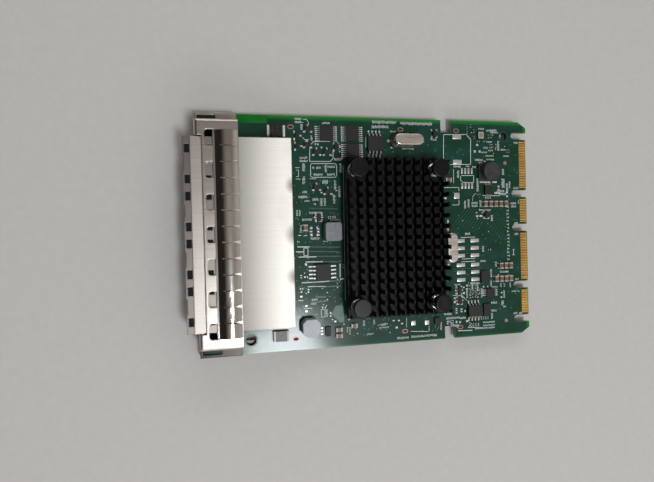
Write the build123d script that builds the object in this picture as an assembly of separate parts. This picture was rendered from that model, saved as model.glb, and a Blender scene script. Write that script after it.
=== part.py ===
from build123d import *
import math
import os

# A four-port mezzanine network card, drawn in millimetres with the component side up.
# +X runs from the ports to the gold contacts, +Y across the card, +Z up.
# Everything is drawn from the centre of the board's top face. At the end it is moved so that
# the origin is at the bottom centre of the whole card.

# Bare board: how far it reaches beyond the jack and the heatsink
board_side_margin = 9.05
middle_zone_length = 18.1
rear_zone_length = 34.6
board_thick = 1.57
corner_cut_x = 3.2
corner_cut_y = 2.1
notch_from_rear = 33.3
notch_length = 3.9
notch_depth = 4.3

# Card edge
contact_pitch = 0.6
contact_width = 0.38
contact_length = 2.4
contact_thick = 0.05
tongue_contact_counts = (28, 14, 28, 14)
tongue_margin = 0.95
key_width = 2.5
key_depth = 6.1
edge_shift = 0.15
bevel_length = 0.55
bevel_depth = 0.3

# Holes through the board
front_hole_x = 14.7
front_hole_in = 4.25
front_hole_d = 3.3
rear_hole_from_end = 9.1
rear_hole_in = 5.25
rear_hole_d = 3.0
tooling_hole_d = 1.0
tooling_in = 3.6
tooling_places = (29.1, 66.9, 87.6)

# Four-port jack
port_count = 4
port_pitch = 13.97
jack_side_wall = 1.01
jack_length = 32.2
jack_roof = 0.65
jack_overhang = 4.5
shield_thick = 0.25
nose_lip = 0.4
cavity_width = 11.9
cavity_floor = 0.45
cavity_height = 6.6
cavity_depth = 12.8
latch_width = 6.2
latch_height = 1.0
latch_tip_width = 4.1
latch_tip_height = 0.6
light_spacing = 9.0
light_width = 2.2
light_height = 1.2
light_top_wall = 0.3
light_length = 8.2
nose_window_x = 1.5
nose_window_y = 2.55
nose_window_in = 0.5
nose_recess_depth = 0.35
nose_recess_width = 4.4
top_window_x = 1.5
top_window_in = 6.6
flap_start = 2.25
flap_length = 3.2
flap_lift = 0.15
flap_thick = 0.3
flap_corner = 0.9
shield_seam = 13.9
pin_pitch = 1.016
pin_count = 8
pin_width = 0.45
pin_thick = 0.25
pin_rise = 2.9
pin_run = 8.0
pin_knee_length = 0.5
pin_knee_rise = 0.45
pin_tip_gap = 1.6
tail_diameter = 0.5
tail_clearance = 0.4
tail_reach = 0.75
tails_from_rear = (10.8, 5.8)
tail_pitch = 2.54
tails_in_row = 4
leg_width = 1.3
leg_reach = 0.75
legs_from_rear = (14.2, 3.2)
leg_clearance = 0.4
pocket_start = 14.5
pocket_rear_wall = 2.2
pocket_side_wall = 1.57
pocket_roof = 2.3
block_lift = 0.3

# Folded bracket
sheet = 0.8
plate_gap = 0.3
flange_depth = 12.8
flange_side = 5.25
flange_clearance = 0.2
foot_overhang = 0.2
bend_radius = 1.0
jack_gap = 0.25
flange_step = 2.2
window_count = 7
window_width = 4.75
window_start = 3.0
window_length = 2.9
window_corner = 0.9
foot_slot_start = 0.9
foot_slot_length = 5.6
foot_slot_margin = 0.9
ear_length = 11.6
ear_from_jack = 0.65
rail_reach = 17.9
rail_in = 4.1
rail_width = 2.8
bracket_screw_x = 7.1
bracket_screw_from_jack = 2.25
screw_head_d = 3.8
screw_head_h = 1.1
screw_shank_d = 2.4
screw_clearance = 0.4
screw_recess_d = 1.6
screw_recess_h = 0.6

# Sprung contact strip on the flange
finger_count = 13
strip_side_margin = 3.325
finger_slit = 0.35
finger_flare = 1.0
finger_flare_length = 2.0
strip_thick = 0.12
clip_in = 0.55
strip_land = 0.55
strip_end_gap = 0.2
strip_rise = 1.0
slit_start = 1.95
clip_width = 4.0
clip_drop = 0.75

# Controller chip, pad and heatsink
sink_side_shift = -2.1
chip_side = 21.0
chip_height = 1.9
pad_side = 20.0
pad_thick = 0.5
sink_length = 34.6
sink_width = 52.2
sink_base = 2.0
sink_height = 8.0
fin_count = 11
fin_margin = 0.8
fin_thick = 0.6
row_count = 15
row_margin_low = 0.94
row_margin_high = 1.33
row_pin_length = 1.35
ridge_height = 1.5
push_in_left = 3.0
push_in_right = 4.0
push_in_side = 4.05
push_clear_d = 7.6

# Push pins and their springs
push_head_d = 6.0
push_head_h = 1.1
push_head_edge = 0.35
push_shank_d = 2.6
push_hole_clearance = 0.4
push_barb_d = 3.5
push_barb_tip_d = 1.8
push_barb_reach = 1.7
push_head_lift = 5.6
spring_wire_d = 0.45
spring_turns = 4
spring_mean_d = 4.3
spring_wire_sides = 6

# Crystals
crystal_base_length = 11.2
crystal_base_width = 4.6
crystal_base_height = 0.8
crystal_can_length = 10.2
crystal_can_width = 3.8
crystal_height = 4.0
crystal_edge = 0.35
crystal_lead_reach = 1.1
crystal_lead_width = 0.8
crystal_lead_thick = 0.3

# Power inductors
square_coil_length = 5.4
square_coil_width = 6.0
square_coil_height = 4.0
square_coil_notch = 0.8
octagon_coil_side = 5.7
octagon_coil_height = 4.0
octagon_coil_cut = 1.3
drum_diameter = 6.2
drum_height = 3.4
drum_base_length = 7.4
drum_base_width = 6.6
drum_base_height = 0.9
drum_waist = 0.9
terminal_width = 2.6
terminal_thick = 0.3
terminal_reach = 0.9

# Leads of the chips
lead_thick = 0.18
lead_foot = 0.7
long_row_lead_count = 8
short_row_lead_count = 4

# Thin 16-pin chips
thin_chip_length = 5.0
thin_chip_width = 4.3
thin_chip_height = 1.0
thin_chip_span = 6.5
thin_lead_pitch = 0.65
thin_lead_width = 0.25

# Wide 8-pin chips
wide_chip_length = 5.2
wide_chip_width = 4.9
wide_chip_height = 1.7
wide_chip_span = 7.9
wide_lead_pitch = 1.27
wide_lead_width = 0.42

# Narrow 8-pin chip
narrow_chip_length = 5.0
narrow_chip_width = 3.8
narrow_chip_height = 1.5
narrow_chip_span = 6.0

# Small 8-pin chips
mini_chip_length = 3.0
mini_chip_width = 3.0
mini_chip_height = 0.9
mini_chip_span = 4.8

# Three-legged and five-legged packages
tiny_body_length = 2.2
tiny_body_width = 1.3
tiny_body_height = 0.95
tiny_span = 2.3
tiny_lead_width = 0.4
tiny_lead_height = 0.36
tiny_lead_pitch = 0.95

# Flat packages without legs
flat_chip_height = 0.85

# Chip capacitors
cap_length = 2.1
cap_width = 1.35
cap_height = 1.0
cap_end = 0.4
cap_row_pitch = 2.0
cap_bank_pitch = 1.9

# Large link and large ceramic capacitor
link_length = 5.8
link_width = 3.2
link_height = 0.6
link_end = 0.75
large_cap_length = 5.0
large_cap_width = 3.3
large_cap_height = 1.6
large_cap_end = 0.7

# Bare pads of parts that are not fitted
bare_pad_thick = 0.05
bar_pad_length = 3.2
bar_pad_width = 1.25
bar_pitch = 2.6
bars_per_bank_count = 3
empty_foot_width = 0.7
empty_foot_length = 2.0

# Derived sizes of the card
jack_width = port_count * port_pitch + 2 * jack_side_wall
board_width = jack_width + 2 * board_side_margin
board_length = jack_length - jack_overhang + middle_zone_length + sink_length + rear_zone_length
flange_width = jack_width + 2 * flange_side
finger_pitch = (flange_width - 2 * strip_side_margin) / finger_count
window_pitch = 2 * finger_pitch
fin_pitch = (sink_length - 2 * fin_margin - fin_thick) / (fin_count - 1)
row_pitch = (sink_width - row_margin_low - row_margin_high - row_pin_length) / (row_count - 1)

# Derived planes of the card
front = -board_length / 2
rear = board_length / 2
side = board_width / 2
underside = -board_thick
jack_front = front - jack_overhang
jack_rear = jack_front + jack_length
jack_side = jack_width / 2
jack_top = cavity_floor + cavity_height + latch_height + latch_tip_height + jack_roof
plate_back = front - plate_gap
plate_front = plate_back - sheet
flange_bottom = jack_top + flange_clearance
flange_top = flange_bottom + sheet
flange_rear = plate_front + flange_depth
ear_bottom = underside - sheet
sink_left = jack_rear + middle_zone_length
sink_right = sink_left + sink_length
sink_low = sink_side_shift - sink_width / 2
sink_high = sink_side_shift + sink_width / 2
sink_x = (sink_left + sink_right) / 2
sink_y = sink_side_shift
sink_bottom = chip_height + pad_thick
base_top = sink_bottom + sink_base
sink_top = sink_bottom + sink_height
push_places = [
    (x, y)
    for x in (sink_left + push_in_left, sink_right - push_in_right)
    for y in (sink_low + push_in_side, sink_high - push_in_side)
]
screw_x = plate_front + bracket_screw_x
screw_y = jack_side + bracket_screw_from_jack


def block(x0, x1, y0, y1, z0, z1):
    """A rectangular block between two corners."""
    centre = Pos((x0 + x1) / 2, (y0 + y1) / 2, (z0 + z1) / 2)
    return centre * Box(x1 - x0, y1 - y0, z1 - z0)


def block_at(x, y, length, width, z0, z1):
    """A rectangular block centred over a place."""
    return block(x - length / 2, x + length / 2, y - width / 2, y + width / 2, z0, z1)


def rod(x, y, diameter, z0, z1):
    """An upright cylinder."""
    return Pos(x, y, (z0 + z1) / 2) * Cylinder(diameter / 2, z1 - z0)


def prism(outline, z0, z1):
    """A flat outline in X and Y, raised from z0 to z1."""
    return Pos(0, 0, z0) * extrude(outline, z1 - z0)


def group(solids):
    """Separate solids that belong to one node."""
    return Compound(list(solids))


def sheet_outline(path, thick):
    """The outline of a folded strip: the path is one side, the other lies to its left."""
    far_side = []
    for i, point in enumerate(path):
        turns = []
        if i > 0:
            turns.append((point[0] - path[i - 1][0], point[1] - path[i - 1][1]))
        if i < len(path) - 1:
            turns.append((path[i + 1][0] - point[0], path[i + 1][1] - point[1]))
        normals = [(-dy / math.hypot(dx, dy), dx / math.hypot(dx, dy)) for dx, dy in turns]
        nx = sum(n[0] for n in normals)
        ny = sum(n[1] for n in normals)
        reach = thick / (normals[0][0] * nx + normals[0][1] * ny)
        far_side.append((point[0] + nx * reach, point[1] + ny * reach))
    return path + far_side[::-1]


def folded_strip(path, thick, width, centre_y):
    """A strip folded in X and Z, as wide as given along Y."""
    face = Plane.XZ * make_face(Polyline(*sheet_outline(path, thick), close=True))
    return Pos(0, centre_y, 0) * extrude(face, width / 2, both=True)


# Port centres, across the card
port_ys = [(i - (port_count - 1) / 2) * port_pitch for i in range(port_count)]
light_ys = [y + s * light_spacing / 2 for y in port_ys for s in (-1, 1)]


def tail_places():
    """Where the jack's solder pins pass through the board."""
    for from_rear in tails_from_rear:
        for y in port_ys:
            for i in range(tails_in_row):
                yield jack_rear - from_rear, y + (i - (tails_in_row - 1) / 2) * tail_pitch


def leg_positions():
    """Where the rear shield's legs pass through the board."""
    leg_y = jack_side - shield_thick / 2
    for from_rear in legs_from_rear:
        for s in (-1, 1):
            yield jack_rear - from_rear, s * leg_y


# The card edge: four tongues with keys between them, listed from +Y to -Y
tongue_widths = [(n - 1) * contact_pitch + 2 * tongue_margin for n in tongue_contact_counts]
edge_width = sum(tongue_widths) + key_width * (len(tongue_widths) - 1)
tongue_tops = []
edge_y = edge_shift + edge_width / 2
for tongue_width in tongue_widths:
    tongue_tops.append(edge_y)
    edge_y -= tongue_width + key_width


def contact_ys():
    """The centre of every gold contact across the card edge."""
    for top, count in zip(tongue_tops, tongue_contact_counts):
        for i in range(count):
            yield top - tongue_margin - i * contact_pitch


def make_board():
    """The bare board: outline, notches, keys, bevelled tongues and holes."""
    corners = [
        (front, -side),
        (rear - corner_cut_x, -side),
        (rear, -side + corner_cut_y),
        (rear, side - corner_cut_y),
        (rear - corner_cut_x, side),
        (front, side),
    ]
    outline = make_face(Polyline(*corners, close=True))
    notch_x = rear - notch_from_rear + notch_length / 2
    for s in (-1, 1):
        outline -= Pos(notch_x, s * side) * Rectangle(notch_length, 2 * notch_depth)
    key_ys = [top - w - key_width / 2 for top, w in zip(tongue_tops, tongue_widths)]
    key_ys.append(tongue_tops[0] + key_width / 2)
    root_x = rear - key_depth
    for y in key_ys:
        slot_length = 2 * key_depth
        outline -= Pos(root_x + key_depth, y) * SlotOverall(slot_length, key_width)
        outline -= Pos(rear, y) * Rectangle(key_width, key_width)
    board = prism(outline, underside, 0)

    bevel = Polyline(
        (rear - bevel_length, 0),
        (rear, 0),
        (rear, -bevel_depth),
        close=True,
    )
    wedge = Pos(0, edge_shift, 0) * extrude(Plane.XZ * make_face(bevel), edge_width / 2, both=True)
    board -= wedge
    board -= mirror(wedge, Plane.XY.offset(underside / 2))

    drills = [
        rod(front + front_hole_x, -side + front_hole_in, front_hole_d, underside, 0),
        rod(rear - rear_hole_from_end, side - rear_hole_in, rear_hole_d, underside, 0),
    ]
    for x in tooling_places:
        for s in (-1, 1):
            drills.append(rod(front + x, s * (side - tooling_in), tooling_hole_d, underside, 0))
    hole_d = push_shank_d + push_hole_clearance
    drills += [rod(x, y, hole_d, underside, 0) for x, y in push_places]
    screw_hole_d = screw_shank_d + screw_clearance
    for s in (-1, 1):
        drills.append(rod(screw_x, s * screw_y, screw_hole_d, underside, 0))
    tail_hole_d = tail_diameter + tail_clearance
    drills += [rod(x, y, tail_hole_d, underside, 0) for x, y in tail_places()]
    for x, y in leg_positions():
        drills.append(
            block_at(
                x, y, leg_width + leg_clearance, shield_thick + 2 * leg_clearance, underside, 0
            )
        )
    return board - drills


def make_edge_contacts(z0, z1):
    """One face of the gold contacts, a separate pad for each."""
    x1 = rear - bevel_length
    x0 = x1 - contact_length
    half = contact_width / 2
    return group(block(x0, x1, y - half, y + half, z0, z1) for y in contact_ys())


# Heights inside a port, from the board up
cavity_top = cavity_floor + cavity_height
latch_top = cavity_top + latch_height
latch_tip_top = latch_top + latch_tip_height
housing_top = jack_top - shield_thick
light_top = housing_top - light_top_wall
plate_in = jack_front + nose_lip
housing_front = plate_in + shield_thick
pocket_x0 = jack_front + pocket_start
pocket_x1 = jack_rear - pocket_rear_wall
pocket_width = port_pitch - pocket_side_wall
pocket_height = jack_top - pocket_roof


def port_space(y, x0, x1):
    """The stepped space of one port: plug body, latch and latch tip."""
    body = block(x0, x1, y - cavity_width / 2, y + cavity_width / 2, cavity_floor, cavity_top)
    latch = block(x0, x1, y - latch_width / 2, y + latch_width / 2, cavity_top, latch_top)
    half_tip = latch_tip_width / 2
    tip = block(x0, x1, y - half_tip, y + half_tip, latch_top, latch_tip_top)
    return body + latch + tip


def light_bar(y, x0, x1):
    """The square bar of one light guide."""
    half = light_width / 2
    return block(x0, x1, y - half, y + half, light_top - light_height, light_top)


def pocket(y, z0):
    """The space of one port's magnetics, from the given height up."""
    half = pocket_width / 2
    return block(pocket_x0, pocket_x1, y - half, y + half, z0, pocket_height)


def make_jack_housing():
    """The black plastic body with its ports, light guide channels and magnetics pockets."""
    half = jack_side - shield_thick
    body = block(housing_front, jack_rear - shield_thick, -half, half, 0, housing_top)
    cuts = []
    for y in port_ys:
        cuts.append(port_space(y, housing_front, plate_in + cavity_depth))
        cuts.append(pocket(y, 0))
    cuts += [light_bar(y, housing_front, plate_in + light_length) for y in light_ys]
    return body - cuts


def make_front_shield():
    """Front face with port openings, the windowed lip and the raised grounding flap."""
    half = jack_side
    seam_x = jack_front + shield_seam
    shield = block(plate_in, housing_front, -half, half, 0, jack_top)
    shield += block(jack_front, seam_x, -half, half, housing_top, jack_top)
    for s in (-1, 1):
        inner = s * (half - shield_thick)
        outer = s * half
        low, high = min(inner, outer), max(inner, outer)
        shield += block(plate_in, seam_x, low, high, 0, jack_top)
    cuts = []
    for y in port_ys:
        cuts.append(port_space(y, plate_in, housing_front))
        recess_half = nose_recess_width / 2
        recess_x = jack_front + nose_recess_depth
        cuts.append(
            block(jack_front, recess_x, y - recess_half, y + recess_half, housing_top, jack_top)
        )
    for y in light_ys:
        cuts.append(light_bar(y, plate_in, housing_front))
        window_x = jack_front + nose_window_in + nose_window_x / 2
        cuts.append(
            block_at(window_x, y, nose_window_x, nose_window_y, housing_top, jack_top)
        )
        top_x = jack_front + top_window_in + top_window_x / 2
        cuts.append(block_at(top_x, y, top_window_x, light_width, housing_top, jack_top))
    shield -= cuts

    flap_x = jack_front + flap_start
    flap_bottom = jack_top + flap_lift
    flap = block(
        flap_x, flap_x + flap_length, -half, half, flap_bottom, flap_bottom + flap_thick
    )
    free_corners = flap.edges().filter_by(Axis.Z).group_by(Axis.X)[-1]
    flap = fillet(free_corners, flap_corner)
    riser = block(flap_x, flap_x + flap_thick, -half, half, jack_top, flap_bottom)
    return shield + riser + flap


def make_rear_shield():
    """Top, sides and back of the rear cover, with four legs through the board."""
    half = jack_side
    seam_x = jack_front + shield_seam
    cover = block(seam_x, jack_rear, -half, half, 0, jack_top)
    cover -= block(
        seam_x, jack_rear - shield_thick, -half + shield_thick, half - shield_thick, 0, housing_top
    )
    for x, y in leg_positions():
        cover += block_at(x, y, leg_width, shield_thick, underside - leg_reach, shield_thick)
    return cover


def make_jack_contacts():
    """The sprung contact wires: along the floor, then back up into the port."""
    back_x = plate_in + cavity_depth
    run_x = back_x - pin_run
    tip_x = back_x - pin_tip_gap
    floor_z = cavity_floor
    path = [
        (back_x, floor_z),
        (run_x, floor_z),
        (run_x - pin_knee_length, floor_z + pin_knee_rise),
        (tip_x, floor_z + pin_rise),
    ]
    wires = []
    for port_y in port_ys:
        for i in range(pin_count):
            y = port_y + (i - (pin_count - 1) / 2) * pin_pitch
            wires.append(folded_strip(path[::-1], pin_thick, pin_width, y))
    return group(wires)


def make_light_guides():
    """Two clear bars above each port, from the front face to the rear of the channel."""
    return group(light_bar(y, plate_in, plate_in + light_length) for y in light_ys)


def make_magnetics():
    """The potted magnetics block of each port, sealed in the housing."""
    return group(pocket(y, block_lift) for y in port_ys)


def make_jack_tails():
    """The solder pins below the magnetics, through the board."""
    return group(
        rod(x, y, tail_diameter, underside - tail_reach, block_lift) for x, y in tail_places()
    )


def make_bracket():
    """One folded sheet: face plate, top flange, side walls, feet and lower ears."""
    half = flange_width / 2
    foot_half = side + foot_overhang
    inner = half - sheet
    opening = jack_side + jack_gap
    upper = block(plate_front, flange_rear, -half, half, 0, flange_top)
    long_edges = upper.edges().filter_by(Axis.X).group_by(Axis.Z)[-1]
    front_edge = upper.edges().filter_by(Axis.Y).group_by(Axis.Z)[-1].group_by(Axis.X)[0]
    upper = fillet(long_edges + front_edge, bend_radius)
    upper -= block(plate_back, flange_rear, -inner, inner, 0, flange_bottom)
    lower = block(plate_front, plate_back, -foot_half, foot_half, ear_bottom, sheet)
    bracket = upper + lower
    for s in (-1, 1):
        y0, y1 = sorted((s * inner, s * foot_half))
        bracket += block(plate_front, flange_rear, y0, y1, 0, sheet)
        y0, y1 = sorted((s * (jack_side + ear_from_jack), s * foot_half))
        bracket += block(plate_front, plate_front + ear_length, y0, y1, ear_bottom, underside)
        y0, y1 = sorted((s * (side - rail_in), s * (side - rail_in + rail_width)))
        bracket += block(plate_front, plate_front + rail_reach, y0, y1, ear_bottom, underside)

    cuts = [
        block(plate_front, plate_back, -opening, opening, 0, flange_top),
        block(plate_front, plate_front + flange_step, -opening, opening, 0, flange_top),
    ]
    window = Pos(plate_front + window_start + window_length / 2, 0) * Rectangle(
        window_length, window_width
    )
    rounded = window.vertices().group_by(Axis.X)[0]
    window = fillet(rounded, window_corner)
    for i in range(window_count):
        y = (i - (window_count - 1) / 2) * window_pitch
        cuts.append(Pos(0, y, 0) * prism(window, flange_bottom, flange_top))
    for s in (-1, 1):
        slot_x = plate_front + foot_slot_start
        y0, y1 = sorted((s * (half + foot_slot_margin / 2), s * (foot_half - foot_slot_margin)))
        cuts.append(block(slot_x, slot_x + foot_slot_length, y0, y1, 0, sheet))
        cuts.append(rod(screw_x, s * screw_y, screw_shank_d, ear_bottom, underside))
    return bracket - cuts


def make_contact_strip():
    """The thin sprung strip: a land, thirteen arched fingers and clips down into the windows."""
    x0 = plate_front + window_start + window_length - clip_in
    x1 = x0 + strip_land
    x2 = flange_rear - strip_end_gap
    z0 = flange_top
    z1 = z0 + strip_thick
    middle = (x1 + x2) / 2
    lower_line = Line((x0, z0), (x1, z0)) + ThreePointArc(
        (x1, z0), (middle, z0 + strip_rise), (x2, z0)
    )
    upper_line = ThreePointArc((x2, z1), (middle, z1 + strip_rise), (x1, z1)) + Line(
        (x1, z1), (x0, z1)
    )
    ends = Line((x2, z0), (x2, z1)) + Line((x0, z1), (x0, z0))
    section = make_face(lower_line + ends + upper_line)
    width = finger_count * finger_pitch - finger_slit
    strip = extrude(Plane.XZ * section, width / 2, both=True)
    top = z1 + strip_rise
    slit_x = x0 + slit_start
    flare_x = x2 - finger_flare_length
    slit = make_face(
        Polyline(
            (slit_x, -finger_slit / 2),
            (flare_x, -finger_slit / 2),
            (x2, -finger_flare / 2),
            (x2, finger_flare / 2),
            (flare_x, finger_slit / 2),
            (slit_x, finger_slit / 2),
            close=True,
        )
    )
    cutter = prism(slit, z0, top)
    cuts = [
        Pos(0, (i - finger_count / 2) * finger_pitch, 0) * cutter for i in range(1, finger_count)
    ]
    strip -= cuts
    for i in range(window_count):
        y = (i - (window_count - 1) / 2) * window_pitch
        half = clip_width / 2
        strip += block(x0, x0 + strip_thick, y - half, y + half, z1 - clip_drop - strip_thick, z1)
    return strip


def make_bracket_screws():
    """Two pan-head screws through the board into the lower ears."""
    screws = []
    for s in (-1, 1):
        x, y = screw_x, s * screw_y
        head = rod(x, y, screw_head_d, 0, screw_head_h)
        head -= rod(x, y, screw_recess_d, screw_head_h - screw_recess_h, screw_head_h)
        screws.append(head + rod(x, y, screw_shank_d, ear_bottom, 0))
    return group(screws)


def make_heatsink():
    """Base plate with thin fins along Y, cross-cut into pins that leave a low ridge."""
    base = block(sink_left, sink_right, sink_low, sink_high, sink_bottom, base_top)
    fins = []
    for i in range(fin_count):
        x = sink_left + fin_margin + fin_thick / 2 + i * fin_pitch
        fins.append(block_at(x, sink_y, fin_thick, sink_width, base_top, sink_top))
    grooves = []
    groove_z = base_top + ridge_height
    row_starts = [sink_low + row_margin_low + j * row_pitch for j in range(row_count)]
    starts = [sink_low] + [y + row_pin_length for y in row_starts]
    ends = row_starts + [sink_high]
    for start, end in zip(starts, ends):
        grooves.append(block(sink_left, sink_right, start, end, groove_z, sink_top))
    clear = [rod(x, y, push_clear_d, base_top, sink_top) for x, y in push_places]
    fins = [fin - grooves - clear for fin in fins]
    hole_d = push_shank_d + push_hole_clearance
    base -= [rod(x, y, hole_d, sink_bottom, base_top) for x, y in push_places]
    return base + fins


def make_push_pins():
    """Plastic push pins: domed head, shank and a split barb below the board."""
    pins = []
    head_z = base_top + push_head_lift
    for x, y in push_places:
        head = rod(x, y, push_head_d, head_z, head_z + push_head_h)
        head = fillet(head.edges().group_by(Axis.Z)[-1], push_head_edge)
        shank = rod(x, y, push_shank_d, underside, head_z)
        barb = Pos(x, y, underside - push_barb_reach / 2) * Cone(
            push_barb_tip_d / 2, push_barb_d / 2, push_barb_reach
        )
        pins.append(head + shank + barb)
    return group(pins)


def make_push_springs():
    """The coil spring between each push pin's head and the heatsink base."""
    gap = push_head_lift - spring_wire_d
    pitch = gap / spring_turns
    springs = []
    for x, y in push_places:
        path = Helix(pitch, gap, spring_mean_d / 2)
        start = Plane(origin=path @ 0, z_dir=path % 0)
        wire = RegularPolygon(spring_wire_d / 2, spring_wire_sides)
        coil = sweep(start * wire, path=path)
        springs.append(Pos(x, y, base_top + spring_wire_d / 2) * coil)
    return group(springs)


# Places of the crystals: centre and turn
crystal_places = (((sink_x + 5.5, side - 7.6), 0), ((sink_right + 3.1, -6.3), 90))


def turned(shape, place, angle):
    """Put a shape drawn at the origin on its place, turned about the upright axis."""
    return Pos(*place) * Rot(0, 0, angle) * shape


def make_crystal_can():
    """The drawn metal can with round ends, standing on the base."""
    can = prism(
        SlotOverall(crystal_can_length, crystal_can_width), crystal_base_height, crystal_height
    )
    can = fillet(can.edges().group_by(Axis.Z)[-1], crystal_edge)
    return can


def make_crystal_base():
    """The insulating base plate with round ends."""
    return prism(SlotOverall(crystal_base_length, crystal_base_width), 0, crystal_base_height)


def make_crystal_leads():
    """Two flat leads at the ends of each crystal."""
    leads = []
    for place, angle in crystal_places:
        for s in (-1, 1):
            x0, x1 = sorted(
                (s * crystal_base_length / 2, s * (crystal_base_length / 2 + crystal_lead_reach))
            )
            half = crystal_lead_width / 2
            leads.append(turned(block(x0, x1, -half, half, 0, crystal_lead_thick), place, angle))
    return group(leads)


# Places of the inductors
square_coil_place = (sink_left - 4.1, 0.15)
octagon_coil_place = (sink_left - 12.1, 7.4 - side)
drum_place = (sink_right + 18.9, 20.0)


def make_square_coil():
    """Moulded square inductor with a notch at each corner."""
    outline = Rectangle(square_coil_length, square_coil_width)
    for i in (-1, 1):
        for j in (-1, 1):
            corner = Pos(i * square_coil_length / 2, j * square_coil_width / 2)
            outline -= corner * Rectangle(square_coil_notch, square_coil_notch)
    return turned(prism(outline, terminal_thick, square_coil_height), square_coil_place, 0)


def make_octagon_coil():
    """Moulded inductor with cut corners."""
    outline = Rectangle(octagon_coil_side, octagon_coil_side)
    outline = chamfer(outline.vertices(), octagon_coil_cut)
    return turned(prism(outline, terminal_thick, octagon_coil_height), octagon_coil_place, 0)


def make_drum_core():
    """Round ferrite drum with a waist for the winding."""
    core = rod(0, 0, drum_diameter, drum_base_height, drum_height)
    waist_low = drum_base_height + drum_waist
    waist_high = drum_height - drum_waist
    ring = rod(0, 0, drum_diameter, waist_low, waist_high)
    ring -= rod(0, 0, drum_diameter - drum_waist, waist_low, waist_high)
    return turned(core - ring, drum_place, 0)


def make_drum_base():
    """The insulating plate below the drum."""
    base = Rectangle(drum_base_length, drum_base_width)
    base = chamfer(base.vertices(), drum_waist)
    return turned(prism(base, terminal_thick, drum_base_height), drum_place, 0)


def make_coil_terminals():
    """The tinned plate under each side of each inductor."""
    sizes = (
        (square_coil_place, square_coil_length),
        (octagon_coil_place, octagon_coil_side),
        (drum_place, drum_base_length),
    )
    plates = []
    for place, length in sizes:
        for s in (-1, 1):
            x = s * (length / 2 - terminal_reach / 2)
            plates.append(
                turned(
                    block_at(x, 0, terminal_reach, terminal_width, 0, terminal_thick), place, 0
                )
            )
    return group(plates)


def lead_rows(count, pitch, width, body_width, height, span):
    """Both rows of gull-wing leads of a chip that is drawn with its leads along X."""
    shoulder = height / 2
    knee_x = span / 2 - lead_foot
    path = [
        (body_width / 2, shoulder),
        (knee_x - lead_thick, shoulder),
        (knee_x, 0),
        (span / 2, 0),
    ]
    leads = []
    for i in range(count):
        y = (i - (count - 1) / 2) * pitch
        wing = folded_strip(path, lead_thick, width, y)
        leads.append(wing)
        leads.append(Rot(0, 0, 180) * wing)
    return leads


def chip_body(length, width, height):
    """A moulded chip body, a little above the board."""
    return block_at(0, 0, width, length, lead_thick, height)


# Chip kinds: body length, width, height, lead span, leads in a row, lead pitch, lead width
thin_kind = (
    thin_chip_length,
    thin_chip_width,
    thin_chip_height,
    thin_chip_span,
    long_row_lead_count,
    thin_lead_pitch,
    thin_lead_width,
)
wide_kind = (
    wide_chip_length,
    wide_chip_width,
    wide_chip_height,
    wide_chip_span,
    short_row_lead_count,
    wide_lead_pitch,
    wide_lead_width,
)
narrow_kind = (
    narrow_chip_length,
    narrow_chip_width,
    narrow_chip_height,
    narrow_chip_span,
    short_row_lead_count,
    wide_lead_pitch,
    wide_lead_width,
)
mini_kind = (
    mini_chip_length,
    mini_chip_width,
    mini_chip_height,
    mini_chip_span,
    short_row_lead_count,
    thin_lead_pitch,
    thin_lead_width,
)

# Every leaded chip: node name, kind, place and turn of the lead direction
leaded_chips = (
    ("switch_chip_front", thin_kind, (sink_left - 5.0, side - 5.6), 0),
    ("switch_chip_middle", thin_kind, (sink_left + 3.8, side - 5.6), 0),
    ("switch_chip_inner", thin_kind, (sink_left + 3.8, side - 11.4), 0),
    ("memory_chip_upper", wide_kind, (sink_x - 5.7, side - 8.8), 90),
    ("memory_chip_left", wide_kind, (sink_left - 7.3, -13.0), 0),
    ("power_chip_lower", narrow_kind, (sink_right + 12.4, 9.2 - side), 90),
    ("driver_chip_right", mini_kind, (sink_right + 18.9, -22.8), 0),
    ("driver_chip_upper", mini_kind, (sink_right + 19.0, 13.6), 90),
)

# Three-legged and five-legged packages: place, turn, legs on the second side
tiny_packages = (
    ((sink_left - 11.1, side - 4.2), 90, 1),
    ((sink_left - 14.7, side - 6.4), 0, 1),
    ((sink_left - 14.5, side - 9.8), 0, 1),
    ((sink_left - 11.3, side - 9.3), 90, 1),
    ((sink_left - 8.3, side - 11.7), 90, 1),
    ((sink_left - 4.8, side - 11.7), 90, 1),
    ((sink_left - 1.6, side - 9.9), 0, 1),
    ((sink_left - 8.6, 14.8), 90, 1),
    ((sink_left - 4.8, 13.5), 90, 1),
    ((sink_left - 8.2, 5.0), 0, 3),
    ((sink_left - 9.7, 0.4), 0, 3),
    ((sink_right + 6.9, -21.4), 0, 3),
    ((sink_right + 7.0, 13.0 - side), 0, 3),
    ((sink_x + 16.1, side - 4.8), 0, 2),
    ((sink_right + 18.1, 5.0), 0, 2),
)

# Flat packages without legs: place, length along X, width along Y
flat_packages = (
    ((sink_right + 16.7, -17.0), 2.8, 4.2),
    ((sink_right + 17.4, 9.3 - side), 2.7, 4.1),
    ((sink_left - 6.0, 5.5 - side), 1.7, 3.1),
    ((sink_x + 15.6, 6.5 - side), 2.2, 2.2),
    ((sink_right + 16.3, side - 5.1), 2.1, 2.4),
)

# Chip capacitors: place and turn
chip_caps = (
    [((sink_right + 17.7 + i * cap_row_pitch, 8.7), 90) for i in range(5)]
    + [((sink_right + 23.3 + i * cap_bank_pitch, -13.4), 90) for i in range(3)]
    + [((sink_right + 21.4 + i * cap_bank_pitch, -18.0), 90) for i in range(4)]
    + [((sink_left - 12.7, 1.6), 90), ((sink_right + 3.6, 17.2), 0)]
    + [((sink_left - 2.3, y - side), 0) for y in (5.8, 3.8)]
    + [((sink_left + 2.9, 6.8 - side), 0)]
)

# The large link and the large ceramic capacitor
link_place = (jack_rear - 3.4, side - 4.9)
large_cap_place = (jack_rear - 3.5, 5.1 - side)

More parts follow.
